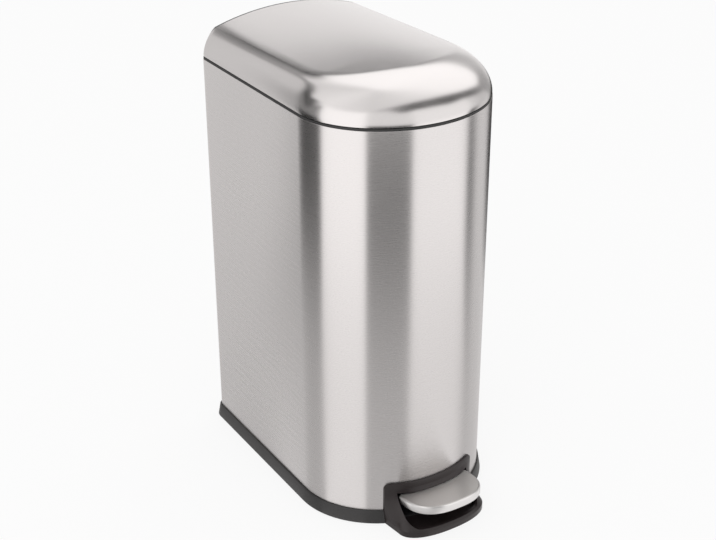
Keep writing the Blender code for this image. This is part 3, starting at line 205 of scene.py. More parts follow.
# azimuth, height of the dark gap's middle, half its height, its level
TENT_GAP = (
    (-180, 1.16, 0.28, 0.06),
    (-170, 1.10, 0.26, 0.26),
    (-160, 0.98, 0.12, 0.45),
    (-150, 1.28, 0.12, 0.45),
    (-140, 1.24, 0.14, 0.20),
    (-128, 1.08, 0.18, 0.04),
    (-116, 0.78, 0.20, 0.12),
    (-107, 0.88, 0.16, 0.10),
    (-98, 0.95, 0.06, 1.00),
    (-90, 0.95, 0.05, 1.45),
    (-40, 1.10, 0.05, 1.00),
    (-20, 1.20, 0.10, 0.60),
    (-8, 1.15, 0.20, 0.25),
    (7, 1.20, 0.20, 0.10),
    (22, 1.15, 0.20, 0.16),
    (37, 1.05, 0.18, 0.12),
    (52, 0.97, 0.13, 0.12),
    (67, 0.84, 0.10, 0.16),
    (82, 0.72, 0.08, 0.45),
    (97, 0.60, 0.22, 0.50),
    (112, 0.80, 0.14, 0.70),
    (127, 0.88, 0.10, 0.50),
    (142, 0.97, 0.09, 0.10),
    (157, 1.09, 0.10, 0.02),
    (168, 1.14, 0.12, 0.02),
    (176, 1.18, 0.20, 0.04),
    (180, 1.16, 0.28, 0.06),
)
# azimuth, level over the gap
TENT_OVERHEAD = (
    (-180, 1.50),
    (-165, 1.15),
    (-150, 1.00),
    (-90, 1.25),
    (-40, 1.00),
    (0, 1.10),
    (30, 1.25),
    (60, 1.50),
    (120, 1.58),
    (180, 1.55),
)

# The photo's camera: angles in degrees, focal length and picture width in pixels, and its place
# in metres from the middle of the body's plan
CAMERA_AZIMUTH = -32.06
CAMERA_ELEVATION = 27.18
CAMERA_ROLL = -0.08
CAMERA_FOCAL = 1388.72
PICTURE_WIDTH = 716
SENSOR_WIDTH = 36
CAMERA_PLACE = (-0.91705, -1.46127, 1.17992)

# The lamp, whose power is in watts
KEY_PLACE = (-1.6, -1.4, 2.2)
KEY_TARGET = (0, 0, 0.3)
KEY_SIZE = (1.4, 1.4)
KEY_POWER = 12
GLOW_COLOUR = (1.0, 0.985, 0.98, 1)
FLOOR_COLOUR = (0.9, 0.9, 0.9, 1)
FLOOR_RADII = (0.001, 0.1, 0.3, TENT_RADIUS + 0.01, 12.0)

# Steel sheet: its colour, how dark its grain and how bright its worn edges are against it, and
# how far its roughness strays along the grain and in clouds
SHEET_TONE = (0.63, 0.61, 0.605)
GRAIN_DARK_SHARE = 0.98
WORN_BRIGHT_SHARE = 1.12
GRAIN_GLOSS = 0.02
CLOUD_GLOSS = 0.012
# Plastics: name, darkest and lightest colour, roughness, fineness and depth of the grain, shine
PLASTICS = (
    ("black_base_plastic", (0.028, 0.027, 0.027), (0.038, 0.036, 0.036), 0.46, 2400, 0.12, 0.40),
    ("inner_black_plastic", (0.020, 0.020, 0.020), (0.030, 0.029, 0.029), 0.55, 1800, 0.12, 0.50),
    ("bezel_plastic", (0.020, 0.015, 0.015), (0.030, 0.023, 0.023), 0.34, 2600, 0.08, 0.36),
    ("bucket_plastic", (0.026, 0.026, 0.027), (0.038, 0.038, 0.040), 0.55, 1600, 0.12, 0.50),
    ("rubber", (0.016, 0.016, 0.016), (0.026, 0.026, 0.026), 0.80, 1500, 0.20, 0.50),
)
# How much paler the rubbed edges of plastic are, and how far its roughness goes down and up
RUBBED_SHARE = 1.8
RUBBED_LIFT = 0.01
PLASTIC_GLOSS = (0.05, 0.06)
# Where the values of a noise usually lie
NOISE_LOW = 0.3
NOISE_HIGH = 0.7

# How finely curves are drawn
ARC_STEPS = 26
CORNER_STEPS = 10
BARREL_STEPS = 32
BASE_CUT_STEPS = 24
SIDE_STEPS = 24
REAR_STEPS = 6
ROLL_STEPS = 22
CROWN_STEPS = 16
BEZEL_STATIONS = 90
BEZEL_ROWS = 40
TREAD_STEPS = 8
ROUND_STEPS = 5
GRIP_STEPS = 6
TENT_COLUMNS = 180
TENT_WALL_ROWS = 48
TENT_TOP_ROWS = 10
TENT_FIRST_ROW = 0.1
MIRROR_SIDE_STEPS = 12
MIRROR_FRONT_STEPS = 120
MIRROR_STRIP_STEPS = 4
# How squarely a place has to face the camera to count as seen
FACING_LIMIT = 0.02
# Space between the supporting rows beside an edge
SUPPORT = 0.0015
# Points nearer than this are one, and an x below MIDDLE lies on the middle line
MERGE_DISTANCE = 1e-7
MIDDLE = 1e-9
# Edges sharper than this many degrees are shaded as edges
SHARP_ANGLE = 35
LID_SHARP_ANGLE = 50
# Edges sharper than this many degrees are softened, in so many steps
SOFT_ANGLE = 30
SOFT_STEPS = 2
BEZEL_EDGE_STEPS = 4

# Plastic nodes that pieces of the scene stand for, and how far the edges of other nodes are
# softened, by their slot
REPLACED = ("base_pan", "top_collar", "lid_rear_cap", "lid_liner")
SOFT_EDGES = {"zinc_steel": 0.0003, "plastic": 0.0004, "rubber": 0.0006}


def solid(name, points, faces, body, replaces=(), sharp=SHARP_ANGLE):
    """A piece of the scene that rides on a body and stands for CAD nodes."""
    mesh = bpy.data.meshes.new(name)
    mesh.from_pydata([tuple(p) for p in points], [], faces)
    shape = bmesh.new()
    shape.from_mesh(mesh)
    bmesh.ops.remove_doubles(shape, verts=shape.verts, dist=MERGE_DISTANCE)
    bmesh.ops.recalc_face_normals(shape, faces=shape.faces)
    shape.to_mesh(mesh)
    shape.free()
    mesh.shade_smooth()
    mesh.set_sharp_from_angle(angle=radians(sharp))
    obj = bpy.data.objects.new(name, mesh)
    bpy.context.scene.collection.objects.link(obj)
    if body:
        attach(obj, body)
    if replaces:
        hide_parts(*replaces)
    return obj


def loft_faces(rings, closed):
    """Faces through rings of as many points; a closed loft joins its last ring to its first."""
    count = len(rings[0])
    points = [p for ring in rings for p in ring]
    faces = []
    if not closed:
        faces.append(tuple(reversed(range(count))))
        faces.append(tuple(range(len(points) - count, len(points))))
    for k in range(len(rings) if closed else len(rings) - 1):
        low, high = k * count, (k + 1) % len(rings) * count
        for i in range(count):
            j = (i + 1) % count
            faces.append((low + i, low + j, high + j, high + i))
    return points, faces


def loft(name, rings, body, replaces=(), closed=False):
    points, faces = loft_faces(rings, closed)
    return solid(name, points, faces, body, replaces)


def helper(rings):
    """A solid that only serves to cut or to be joined."""
    return loft("helper", rings, None)


def combine(obj, tools, operation="DIFFERENCE"):
    """Applies a Boolean with each helper solid, and removes the helpers."""
    for tool in tools:
        step = obj.modifiers.new("step", "BOOLEAN")
        step.operation = operation
        step.object = tool
    bpy.context.view_layer.update()
    made = bpy.data.meshes.new_from_object(obj.evaluated_get(bpy.context.evaluated_depsgraph_get()))
    obj.modifiers.clear()
    obj.data = made
    for tool in tools:
        bpy.data.objects.remove(tool, do_unlink=True)
    obj.data.shade_smooth()
    obj.data.set_sharp_from_angle(angle=radians(SHARP_ANGLE))
    return obj


def helper_box(low, high):
    """A box between two opposite corners, as a helper."""
    xs, ys, zs = zip(low, high)
    rings = [[(xs[0], ys[0], z), (xs[1], ys[0], z), (xs[1], ys[1], z), (xs[0], ys[1], z)] for z in zs]
    return helper(rings)


def bevel(obj, width, steps):
    step = obj.modifiers.new("soft_edges", "BEVEL")
    step.width = width
    step.segments = steps
    step.limit_method = "ANGLE"
    step.angle_limit = radians(SOFT_ANGLE)
    step.harden_normals = False
    return obj


def arch(half_width, front, depth, square_share=1.0):
    """Half an oval arch from its middle in front to its side."""
    points = []
    for i in range(ARC_STEPS + 1):
        angle = pi / 2 * i / ARC_STEPS
        x = half_width * sin(angle) ** square_share
        points.append((x, front + depth * (1 - max(cos(angle), 0.0) ** square_share)))
    return points


def mirrored(half):
    left = [(-x, y) for x, y in reversed(half) if x > MIDDLE]
    return half + left


def half_plan(out=0.0, rear=None, corner=None):
    """The right half of the body's plan, grown by out; rear and corner replace its own."""
    rear = REAR_Y + out if rear is None else rear
    corner = REAR_CORNER_RADIUS + out if corner is None else corner
    half_width = BODY_WIDTH / 2 + out
    points = arch(half_width, FRONT_Y - out, ARCH_DEPTH + out)
    side_start = points[-1][1]
    points.append((half_width, side_start + SUPPORT))
    points.append((half_width, rear - corner - SUPPORT))
    for i in range(CORNER_STEPS + 1):
        angle = pi / 2 * i / CORNER_STEPS
        points.append((half_width - corner * (1 - cos(angle)), rear - corner * (1 - sin(angle))))
    points.append((half_width - corner - SUPPORT, rear))
    return points


def plan(out=0.0, rear=None, corner=None):
    return mirrored(half_plan(out, rear, corner))


def ring_at(out, z, rear=None, corner=None):
    return [(x, y, z) for x, y in plan(out, rear, corner)]


def front_y(x, out=0.0):
    """Where the body's plan, grown by out, is in front at this x."""
    half_width = BODY_WIDTH / 2 + out
    share = min(abs(x) / half_width, 1.0)
    return FRONT_Y - out + (ARCH_DEPTH + out) * (1 - sqrt(1 - share**2))


def body_shell():
    """The steel wall, its top and bottom edges turned over a little."""
    rings = [
        ring_at(-SHELL_EDGE, SHELL_BOTTOM),
        ring_at(0, SHELL_BOTTOM + SHELL_EDGE),
        ring_at(0, SHELL_BOTTOM + SUPPORT),
        ring_at(0, SHELL_TOP - SUPPORT),
        ring_at(0, SHELL_TOP - SHELL_EDGE),
        ring_at(-SHELL_EDGE, SHELL_TOP),
        ring_at(-STEEL, SHELL_TOP),
        ring_at(-STEEL, SHELL_BOTTOM),
    ]
    shell = loft("body_steel", rings, "bin", ["outer_shell"], closed=True)
    return combine(shell, [doorway_helper(0, DOORWAY_TOP)])


def doorway_helper(low, high):
    """The doorway of the pedal lever in the body's front, between two heights."""
    front, rear = FRONT_Y - CUT_OVERRUN, FRONT_Y + CUT_DEPTH
    return helper_box((-DOORWAY_HALF_WIDTH, front, low), (DOORWAY_HALF_WIDTH, rear, high))


def base_skirt():
    """The base with its rounded skirt, the groove that holds the steel wall, and its floor."""
    step = SKIRT_ROUND
    profile = [
        (SKIRT_BOTTOM_OUT - 2 * step, BASE_BOTTOM),
        (SKIRT_BOTTOM_OUT - step / 2, BASE_BOTTOM + step / 2),
        (SKIRT_BOTTOM_OUT, BASE_BOTTOM + 2 * step),
        (SKIRT_TOP_OUT + step, SKIRT_TOP - 3 * step),
        (SKIRT_TOP_OUT + step / 2, SKIRT_TOP - 1.5 * step),
        (SKIRT_TOP_OUT - step / 2, SKIRT_TOP - step / 2),
        (SKIRT_TOP_OUT - 1.5 * step, SKIRT_TOP),
        (FIT_GAP, SKIRT_TOP),
        (FIT_GAP, SHELL_BOTTOM - FIT_GAP),
        (-STEEL - FIT_GAP, SHELL_BOTTOM - FIT_GAP),
        (-STEEL - FIT_GAP, SKIRT_TOP),
        (-STEEL - FIT_GAP - UPSTAND_WIDTH, SKIRT_TOP),
        (-STEEL - FIT_GAP - UPSTAND_WIDTH, PAN_TOP),
    ]
    rings = [ring_at(out, z) for out, z in profile]
    base = loft("base_skirt", rings, "bin", ["base_pan"])
    wide = BEZEL_HALF_WIDTH + FIT_GAP
    across = [wide * (2 * i / BASE_CUT_STEPS - 1) for i in range(BASE_CUT_STEPS + 1)]
    outline = [(x, front_y(x)) for x in across]
    outline += [(wide, FRONT_Y - CUT_OVERRUN), (-wide, FRONT_Y - CUT_OVERRUN)]
    place = helper([[(x, y, z) for x, y in outline] for z in (-CUT_OVERRUN, BASE_CUT_TOP)])
    doorway = doorway_helper(SHELL_BOTTOM - FIT_GAP, BASE_CUT_TOP)
    return combine(base, [place, doorway])


def barrel(radius, left, right):
    """A round helper on the hinge's axis."""
    turns = [2 * pi * i / BARREL_STEPS for i in range(BARREL_STEPS)]
    outline = [(HINGE_Y + radius * cos(turn), HINGE_Z + radius * sin(turn)) for turn in turns]
    return helper([[(x, y, z) for y, z in outline] for x in (left, right)])


def knuckle_span(sign, place):
    """The x range of a knuckle; place 0 is the band's, place 1 the lid's beside it."""
    near = KNUCKLE_INNER_X - place * (KNUCKLE_LENGTH + FIT_GAP)
    ends = (sign * near, sign * (near + KNUCKLE_LENGTH))
    return min(ends), max(ends)


def knuckles(place, low, high):
    """The two barrels of the collar or the lid with their webs, as helpers to join."""
    made = []
    for sign in (-1, 1):
        left, right = knuckle_span(sign, place)
        made.append(barrel(KNUCKLE_RADIUS, left, right))
        made.append(helper_box((left, REAR_Y - REAR_CAP / 2, low), (right, HINGE_Y, high)))
    return made


def bores(place):
    """Helpers that bore the knuckles for their pins."""
    made = []
    for sign in (-1, 1):
        left, right = knuckle_span(sign, place)
        made.append(barrel(PIN_RADIUS + FIT_GAP, left - BORE_OVERRUN, right + BORE_OVERRUN))
    return made


def top_band():
    """The black band under the lid with its skirt, the bucket's ledge and the hinge knuckles."""
    hole_inset = COLLAR_INNER + LEDGE_WIDTH
    rear = CHANNEL_FRONT_Y - BUCKET_REAR_GAP
    edge = BAND_EDGE
    rings = [
        ring_at(-COLLAR_EDGE_INSET - edge, SHELL_TOP + FIT_GAP),
        ring_at(-COLLAR_EDGE_INSET, SHELL_TOP + FIT_GAP + edge),
        ring_at(-COLLAR_EDGE_INSET, BAND_TOP - edge),
        ring_at(-COLLAR_EDGE_INSET - edge, BAND_TOP),
        ring_at(-COLLAR_INNER, BAND_TOP),
        ring_at(-COLLAR_INNER, LEDGE_TOP),
        ring_at(-hole_inset, LEDGE_TOP, rear, BUCKET_CORNER_RADIUS),
        ring_at(-hole_inset, LEDGE_BOTTOM, rear, BUCKET_CORNER_RADIUS),
        ring_at(-COLLAR_INNER, LEDGE_BOTTOM),
        ring_at(-COLLAR_INNER, COLLAR_SKIRT_BOTTOM),
        ring_at(-STEEL - FIT_GAP, COLLAR_SKIRT_BOTTOM),
        ring_at(-STEEL - FIT_GAP, SHELL_TOP + FIT_GAP),
    ]
    band = loft("top_band", rings, "bin", ["top_collar"], closed=True)
    (x0, y0), (x1, y1) = CRANK_WELL
    well = helper_box((x0, y0, LEDGE_BOTTOM - CUT_OVERRUN), (x1, y1, BAND_TOP + CUT_OVERRUN))
    combine(band, [well])
    combine(band, knuckles(0, SHELL_TOP + 2 * FIT_GAP, BAND_TOP - FIT_GAP), "UNION")
    return combine(band, bores(0))


def crown_radius(y):
    """The crown's radius across the lid, which is larger over the nose than at the rear."""
    start = FRONT_Y + ARCH_DEPTH
    share = min(max((y - start) / (REAR_Y - start), 0.0), 1.0)
    return 1 / ((1 - share) / CROWN_FRONT_RADIUS + share / CROWN_REAR_RADIUS)


def crown_drop(x, y):
    """How far the lid's crown falls off at a place from its top line."""
    radius = crown_radius(y)
    return radius - sqrt(radius**2 - x**2)


def rear_half_width(y, inset):
    """Half the width of the plan, drawn in by inset, at a place in its rear corner."""
    corner = REAR_CORNER_RADIUS - inset
    centre = REAR_Y - REAR_CORNER_RADIUS
    reach = min(max(y - centre, 0.0), corner)
    return BODY_WIDTH / 2 - inset - corner + sqrt(corner**2 - reach**2)


def lid_stations(inset):
    """The lid's rim line and the line where its roll meets the crown, from the nose to the rear."""
    rim_inset = LID_INSET + inset
    half_width = BODY_WIDTH / 2 - rim_inset
    rim = arch(half_width, FRONT_Y + rim_inset, ARCH_DEPTH - rim_inset)
    crown = arch(BODY_WIDTH / 2 - ROLL_WIDTH, FRONT_Y + NOSE_LENGTH, NOSE_ARCH_DEPTH)
    corner_start = REAR_Y - REAR_CORNER_RADIUS
    rear = REAR_Y - LID_INSET - REAR_CAP - FIT_GAP
    rim_start, (crown_x, crown_start) = rim[-1][1], crown[-1]
    for i in range(1, SIDE_STEPS + 1):
        share = i / SIDE_STEPS
        rim.append((half_width, rim_start + (corner_start - rim_start) * share))
        crown.append((crown_x, crown_start + (corner_start - crown_start) * share))
    for k in range(1, REAR_STEPS + 1):
        y = corner_start + (rear - corner_start) * k / REAR_STEPS
        rim.append((rear_half_width(y, rim_inset), y))
        crown.append((crown_x, y))
    return rim, crown


def roll_row(rim_point, crown_point, inset):
    """Points from the lid's rim up its side and over the roll to the crown's edge."""
    rim = Vector((*rim_point, LID_BOTTOM + LID_SKIRT))
    top_z = LID_TOP - inset - crown_drop(*crown_point)
    crown = Vector((*crown_point, top_z))
    slope = crown.x / sqrt(crown_radius(crown.y) ** 2 - crown.x**2)
    toward = Vector((rim.x - crown.x, rim.y - crown.y, -(rim.x - crown.x) * slope))
    width = hypot(toward.x, toward.y)
    # The crease is full along the straight sides and fades towards the nose
    toward.z -= width * tan(LID_CREASE) * crown.x / (BODY_WIDTH / 2 - ROLL_WIDTH)
    over = crown + toward * ROLL_TOP_SHARE
    lean = LID_LEAN / width
    under = Vector((rim.x - toward.x * lean, rim.y - toward.y * lean, 0))
    under.z = rim.z + (top_z - rim.z) * ROLL_SIDE_SHARE
    row = [Vector((*rim_point, LID_BOTTOM)), Vector((*rim_point, LID_BOTTOM + LID_SKIRT / 2))]
    for i in range(ROLL_STEPS + 1):
        t = i / ROLL_STEPS
        s = 1 - t
        row.append(s**3 * rim + 3 * s * s * t * under + 3 * s * t * t * over + t**3 * crown)
    return row


def lid_section(rim_point, crown_point, inset):
    """A whole row across the lid, from its right rim over the crown to its left rim."""
    right = roll_row(rim_point, crown_point, inset)
    edge_x, y = crown_point
    middle = []
    for i in range(1, CROWN_STEPS):
        x = edge_x * (1 - 2 * i / CROWN_STEPS)
        middle.append(Vector((x, y, LID_TOP - inset - crown_drop(x, y))))
    left = [Vector((-p.x, p.y, p.z)) for p in reversed(right)]
    return right + middle + left


def lid_steel():
    """Pressed steel: an outer and an inner surface, joined along the rim and the open rear."""
    surfaces = []
    for inset in (0.0, STEEL):
        rim, crown = lid_stations(inset)
        surfaces.append([lid_section(r, c, inset) for r, c in zip(rim, crown)])
    rows, width = len(surfaces[0]), len(surfaces[0][0])
    points = [p for surface in surfaces for row in surface for p in row]

    def at(side, row, column):
        return (side * rows + row) * width + column

    faces = []
    for side in (0, 1):
        for r in range(rows - 1):
            for c in range(width - 1):
                quad = (at(side, r, c), at(side, r, c + 1), at(side, r + 1, c + 1), at(side, r + 1, c))
                faces.append(quad if side == 0 else quad[::-1])
    for r in range(rows - 1):
        for c in (0, width - 1):
            faces.append((at(0, r, c), at(0, r + 1, c), at(1, r + 1, c), at(1, r, c)))
    last = rows - 1
    for c in range(width - 1):
        faces.append((at(0, last, c), at(0, last, c + 1), at(1, last, c + 1), at(1, last, c)))
    return solid("lid_steel", points, faces, "lid", ["lid_shell"], sharp=LID_SHARP_ANGLE)


def lid_rear():
    """The black wall that closes the lid's rear, with a rounded outer edge and its knuckles."""
    rear = REAR_Y - LID_INSET
    crown_x = BODY_WIDTH / 2 - ROLL_WIDTH
    rings = []
    for y in [rear - REAR_CAP * share for share in REAR_CAP_SHARES] + [rear - FIT_GAP]:
        rings.append(lid_section((rear_half_width(y, LID_INSET), y), (crown_x, y), 0.0))
    cap = loft("lid_rear_wall", rings, "lid", ["lid_rear_cap"])
    combine(cap, knuckles(1, LID_BOTTOM + FIT_GAP, LID_BOTTOM + KNUCKLE_RADIUS / 2), "UNION")
    return combine(cap, bores(1))


def along(points, count):
    """As many points, evenly spaced along a line of points."""
    lengths = [0.0]
    for (x0, y0), (x1, y1) in zip(points, points[1:]):
        lengths.append(lengths[-1] + hypot(x1 - x0, y1 - y0))
    spaced = []
    k = 0
    for i in range(count):
        wanted = lengths[-1] * i / (count - 1)
        while k < len(points) - 2 and lengths[k + 1] < wanted:
            k += 1
        share = (wanted - lengths[k]) / (lengths[k + 1] - lengths[k])
        (x0, y0), (x1, y1) = points[k], points[k + 1]
        spaced.append((x0 + (x1 - x0) * share, y0 + (y1 - y0) * share))
    return spaced


def scoop_line():
    """The scoop's plan line from the body on the left, round its nose, to the body on the right."""
    nose = arch(SCOOP_HALF_WIDTH, FRONT_Y - BEZEL_REACH, SCOOP_ARCH_DEPTH, SCOOP_SQUARE_SHARE)
    flare_x = SCOOP_HALF_WIDTH + SCOOP_FLARE
    half = nose + [(flare_x, front_y(flare_x, BEZEL_FLANGE))]
    return [(-x, y) for x, y in reversed(half) if x > MIDDLE] + half


def bezel_rows():
    """Height, half width and share of the scoop's swell, up to the flange's round corners."""
    corner_start = BEZEL_TOP - BEZEL_CORNER
    heights = [BASE_BOTTOM + (corner_start - BASE_BOTTOM) * i / BEZEL_ROWS for i in range(BEZEL_ROWS + 1)]
    rows = [(z, BEZEL_HALF_WIDTH, between(SWELL_SHARES, z)[0]) for z in heights]
    for i in range(1, CORNER_STEPS + 1):
        turn = pi / 2 * i / CORNER_STEPS
        z = BEZEL_TOP - BEZEL_CORNER * (1 - sin(turn))
        half_width = BEZEL_HALF_WIDTH - BEZEL_CORNER * (1 - cos(turn))
        rows.append((z, half_width, SWELL_SHARES[-1][1] - SWELL_CORNER_SHARE * i / CORNER_STEPS))
    return rows


def mouth_outline():
    """The mouth seen from the front: square at the top, with round lower corners."""
    half = []
    for i in range(CORNER_STEPS + 1):
        turn = pi / 2 * i / CORNER_STEPS
        x = MOUTH_HALF_WIDTH - MOUTH_CORNER * (1 - sin(turn))
        half.append((x, BEZEL_LIP_TOP + MOUTH_CORNER * (1 - cos(turn))))
    half.append((MOUTH_HALF_WIDTH, MOUTH_TOP))
    return half + [(-x, z) for x, z in reversed(half)]


def bezel_well():
    """A helper for the hollow behind the bezel's lip, down to its floor."""
    wide = MOUTH_HALF_WIDTH - FIT_GAP
    front = FRONT_Y - BEZEL_REACH + BEZEL_LIP_WIDTH
    half = arch(wide, front, SCOOP_ARCH_DEPTH - BEZEL_LIP_WIDTH, SCOOP_SQUARE_SHARE)
    outline = mirrored(half + [(wide, FRONT_Y + CUT_DEPTH)])
    heights = (BASE_BOTTOM + BEZEL_FLOOR, BEZEL_LIP_TOP + MOUTH_CORNER)
    return helper([[(x, y, z) for x, y in outline] for z in heights])


def bezel():
    """The flange on the body's front that swells downwards into a scoop with a lip."""
    scoop = along(scoop_line(), BEZEL_STATIONS + 1)
    rings = []
    for z, half_width, share in bezel_rows():
        xs = [half_width * (2 * i / BEZEL_STATIONS - 1) for i in range(BEZEL_STATIONS + 1)]
        flange = [(x, front_y(x, BEZEL_FLANGE)) for x in xs]
        back = [(x, front_y(x, FIT_GAP)) for x in xs]
        pairs = zip(flange, scoop)
        front = [(fx + (sx - fx) * share, fy + (sy - fy) * share) for (fx, fy), (sx, sy) in pairs]
        rings.append([(x, y, z) for x, y in front + back[::-1]])
    body = loft("bezel_moulding", rings, "bin", ["pedal_bezel"])
    mouth_ends = (FRONT_Y - CUT_DEPTH, FRONT_Y + CUT_DEPTH)
    mouth = helper([[(x, y, z) for x, z in mouth_outline()] for y in mouth_ends])
    combine(body, [mouth, bezel_well()])
    return bevel(body, BEZEL_EDGE, BEZEL_EDGE_STEPS)


def pedal_outline(inset):
    """Half of the pedal's plan, drawn in by inset."""
    half_width = MOUTH_HALF_WIDTH - PEDAL_SIDE_GAP - inset
    return arch(half_width, FRONT_Y - PEDAL_REACH + inset, PEDAL_ARCH_DEPTH - inset, PEDAL_SQUARE_SHARE)


def pedal_tread():
    """The steel tread with a rounded edge and a turned-down lip, open below and behind."""
    front = FRONT_Y - PEDAL_REACH
    rear = FRONT_Y + PEDAL_TUCK
    rise = (PEDAL_REAR_TOP - PEDAL_FRONT_TOP) / (rear - front)

    def ring(inset, drop, back=rear):
        half = pedal_outline(inset)
        outline = mirrored(half + [(half[-1][0], back)])
        return [(x, y, PEDAL_FRONT_TOP + rise * (y - front) - drop) for x, y in outline]

    rings = [ring(TREAD_HEM, PEDAL_LIP), ring(0.0, PEDAL_LIP - TREAD_HEM_HEIGHT)]
    for i in range(TREAD_STEPS + 1):
        turn = pi / 2 * i / TREAD_STEPS
        rings.append(ring(TREAD_EDGE * (1 - cos(turn)), TREAD_EDGE * (1 - sin(turn))))
    body = loft("pedal_tread", rings, "pedal_lever", ["pedal_plate"])
    drops = (PEDAL_LIP + CUT_OVERRUN, PEDAL_SHEET + TREAD_HOLLOW_DROP)
    hollow = helper([ring(PEDAL_SHEET, drop, rear + CUT_OVERRUN) for drop in drops])
    return combine(body, [hollow])


def bucket():
    """The inner bucket with a rolled rim, a rounded foot and a rounded grip in each side."""
    wall_out = -COLLAR_INNER - LEDGE_WIDTH - BUCKET_RIM_GAP
    rim_out = -COLLAR_INNER - BUCKET_RIM_GAP
    rear = CHANNEL_FRONT_Y - BUCKET_REAR_GAP - BUCKET_RIM_GAP
    rim_rear = CHANNEL_FRONT_Y - FIT_GAP
    bottom, rim_bottom = DECK_TOP + FIT_GAP, LEDGE_TOP + FIT_GAP
    rim_top = rim_bottom + BUCKET_RIM
    inside = wall_out - BUCKET_WALL
    soft, edge = BUCKET_FOOT_ROUND, BUCKET_RIM_ROUND
    # Each row: how far out, where the rear is, height
    rows = [(wall_out - BUCKET_TAPER - soft, rear - BUCKET_TAPER - soft, bottom)]
    for i in range(1, ROUND_STEPS + 1):
        turn = pi / 2 * i / ROUND_STEPS
        inward = BUCKET_TAPER + soft * (1 - sin(turn))
        rows.append((wall_out - inward, rear - inward, bottom + soft * (1 - cos(turn))))
    rows += [
        (wall_out, rear, rim_bottom),
        (rim_out - edge, rim_rear - edge, rim_bottom),
        (rim_out, rim_rear, rim_bottom + edge),
        (rim_out, rim_rear, rim_top - edge),
        (rim_out - edge, rim_rear - edge, rim_top),
        (inside + edge, rear - BUCKET_WALL + edge, rim_top),
        (inside, rear - BUCKET_WALL, rim_top - edge),
    ]
    for i in range(ROUND_STEPS + 1):
        turn = pi / 2 * i / ROUND_STEPS
        inward = BUCKET_TAPER + soft * (1 - cos(turn))
        height = bottom + BUCKET_WALL + soft * (1 - sin(turn))
        rows.append((inside - inward, rear - BUCKET_WALL - inward, height))
    rings = [ring_at(out, z, back, BUCKET_CORNER_RADIUS) for out, back, z in rows]
    made = loft("bucket", rings, "bin", ["inner_bucket"])
    grip_top = rim_bottom - GRIP_DROP
    front, back = PLAN_Y - GRIP_LENGTH / 2, PLAN_Y + GRIP_LENGTH / 2
    outline = rounded_box(front, back, grip_top - GRIP_HEIGHT, grip_top, GRIP_ROUND)
    through = helper([[(x, y, z) for y, z in outline] for x in (-BODY_WIDTH, BODY_WIDTH)])
    return combine(made, [through])


def rounded_box(low_a, high_a, low_b, high_b, radius):
    """The outline of a rectangle with round corners."""
    points = []
    corners = ((high_a, high_b, 0), (low_a, high_b, 1), (low_a, low_b, 2), (high_a, low_b, 3))
    for a, b, quarter in corners:
        centre_a = a - radius if a == high_a else a + radius
        centre_b = b - radius if b == high_b else b + radius
        for i in range(GRIP_STEPS + 1):
            turn = pi / 2 * (quarter + i / GRIP_STEPS)
            points.append((centre_a + radius * cos(turn), centre_b + radius * sin(turn)))
    return points


def liner():
    """The panel inside the lid with a rounded edge and a shallow step towards its middle."""
    inset = LID_INSET + STEEL + LINER_SIDE_GAP
    rear = REAR_Y - LID_INSET - REAR_CAP - FIT_GAP
    low, high = LINER_BOTTOM, LINER_BOTTOM + LINER_HEIGHT
    floor_z = low + LINER_THICKNESS
    edge, step, border = LINER_EDGE, LINER_STEP, LINER_BORDER
    # Each row: how far in, height
    rows = [
        (border + 2 * step, low + step),
        (border, low),
        (edge, low),
        (0, low + edge),
        (0, high - edge),
        (edge, high),
        (LINER_THICKNESS, high),
        (LINER_THICKNESS, floor_z),
        (border, floor_z),
    ]
    rings = [ring_at(-inset - inward, z, rear - inward, REAR_CORNER_RADIUS) for inward, z in rows]
    return loft("lid_lining", rings, "lid", ["lid_liner"])


def node(name):
    return frame["nodes"][name]


def soften_nodes():
    """Rounds the edges of the solids that the scene keeps."""
    for part in frame["record"]["subparts"]:
        width = SOFT_EDGES.get(part["material_slot"])
        if width and part["node"] not in REPLACED:
            bevel(node(part["node"]), width, SOFT_STEPS)


def look(name):
    """A new material with its node tree and its shader."""
    made = bpy.data.materials.new(name)
    made.use_nodes = True
    tree = made.node_tree
    return made, tree, tree.nodes["Principled BSDF"]


def link(tree, source, target):
    tree.links.new(source, target)


def noise(tree, vector, scale, detail=3.0, rough=0.5):
    made = tree.nodes.new("ShaderNodeTexNoise")
    made.inputs["Scale"].default_value = scale
    made.inputs["Detail"].default_value = detail
    made.inputs["Roughness"].default_value = rough
    link(tree, vector, made.inputs["Vector"])
    return made.outputs["Fac"]


def stretched(tree, scale):
    """Object coordinates stretched, so that a noise runs as a grain."""
    coordinates = tree.nodes.new("ShaderNodeTexCoord")
    mapping = tree.nodes.new("ShaderNodeMapping")
    mapping.inputs["Scale"].default_value = scale
    link(tree, coordinates.outputs["Object"], mapping.inputs["Vector"])
    return mapping.outputs["Vector"]


def plain(tree):
    """Object coordinates as they are."""
    return stretched(tree, (1, 1, 1))


def ranged(tree, value, low, high, from_low=NOISE_LOW, from_high=NOISE_HIGH):
    """A value stretched from one range to another; the first is a noise's unless it is given."""
    made = tree.nodes.new("ShaderNodeMapRange")
    made.inputs["From Min"].default_value = from_low
    made.inputs["From Max"].default_value = from_high
    made.inputs["To Min"].default_value = low
    made.inputs["To Max"].default_value = high
    link(tree, value, made.inputs["Value"])
    return made.outputs["Result"]


def tinted(tree, value, dark, light):
    """A colour between dark and light by a noise."""
    made = tree.nodes.new("ShaderNodeValToRGB")
    made.color_ramp.elements[0].position = NOISE_LOW
    made.color_ramp.elements[1].position = NOISE_HIGH
    made.color_ramp.elements[0].color = (*dark, 1)
    made.color_ramp.elements[1].color = (*light, 1)
    link(tree, value, made.inputs["Fac"])
    return made.outputs["Color"]


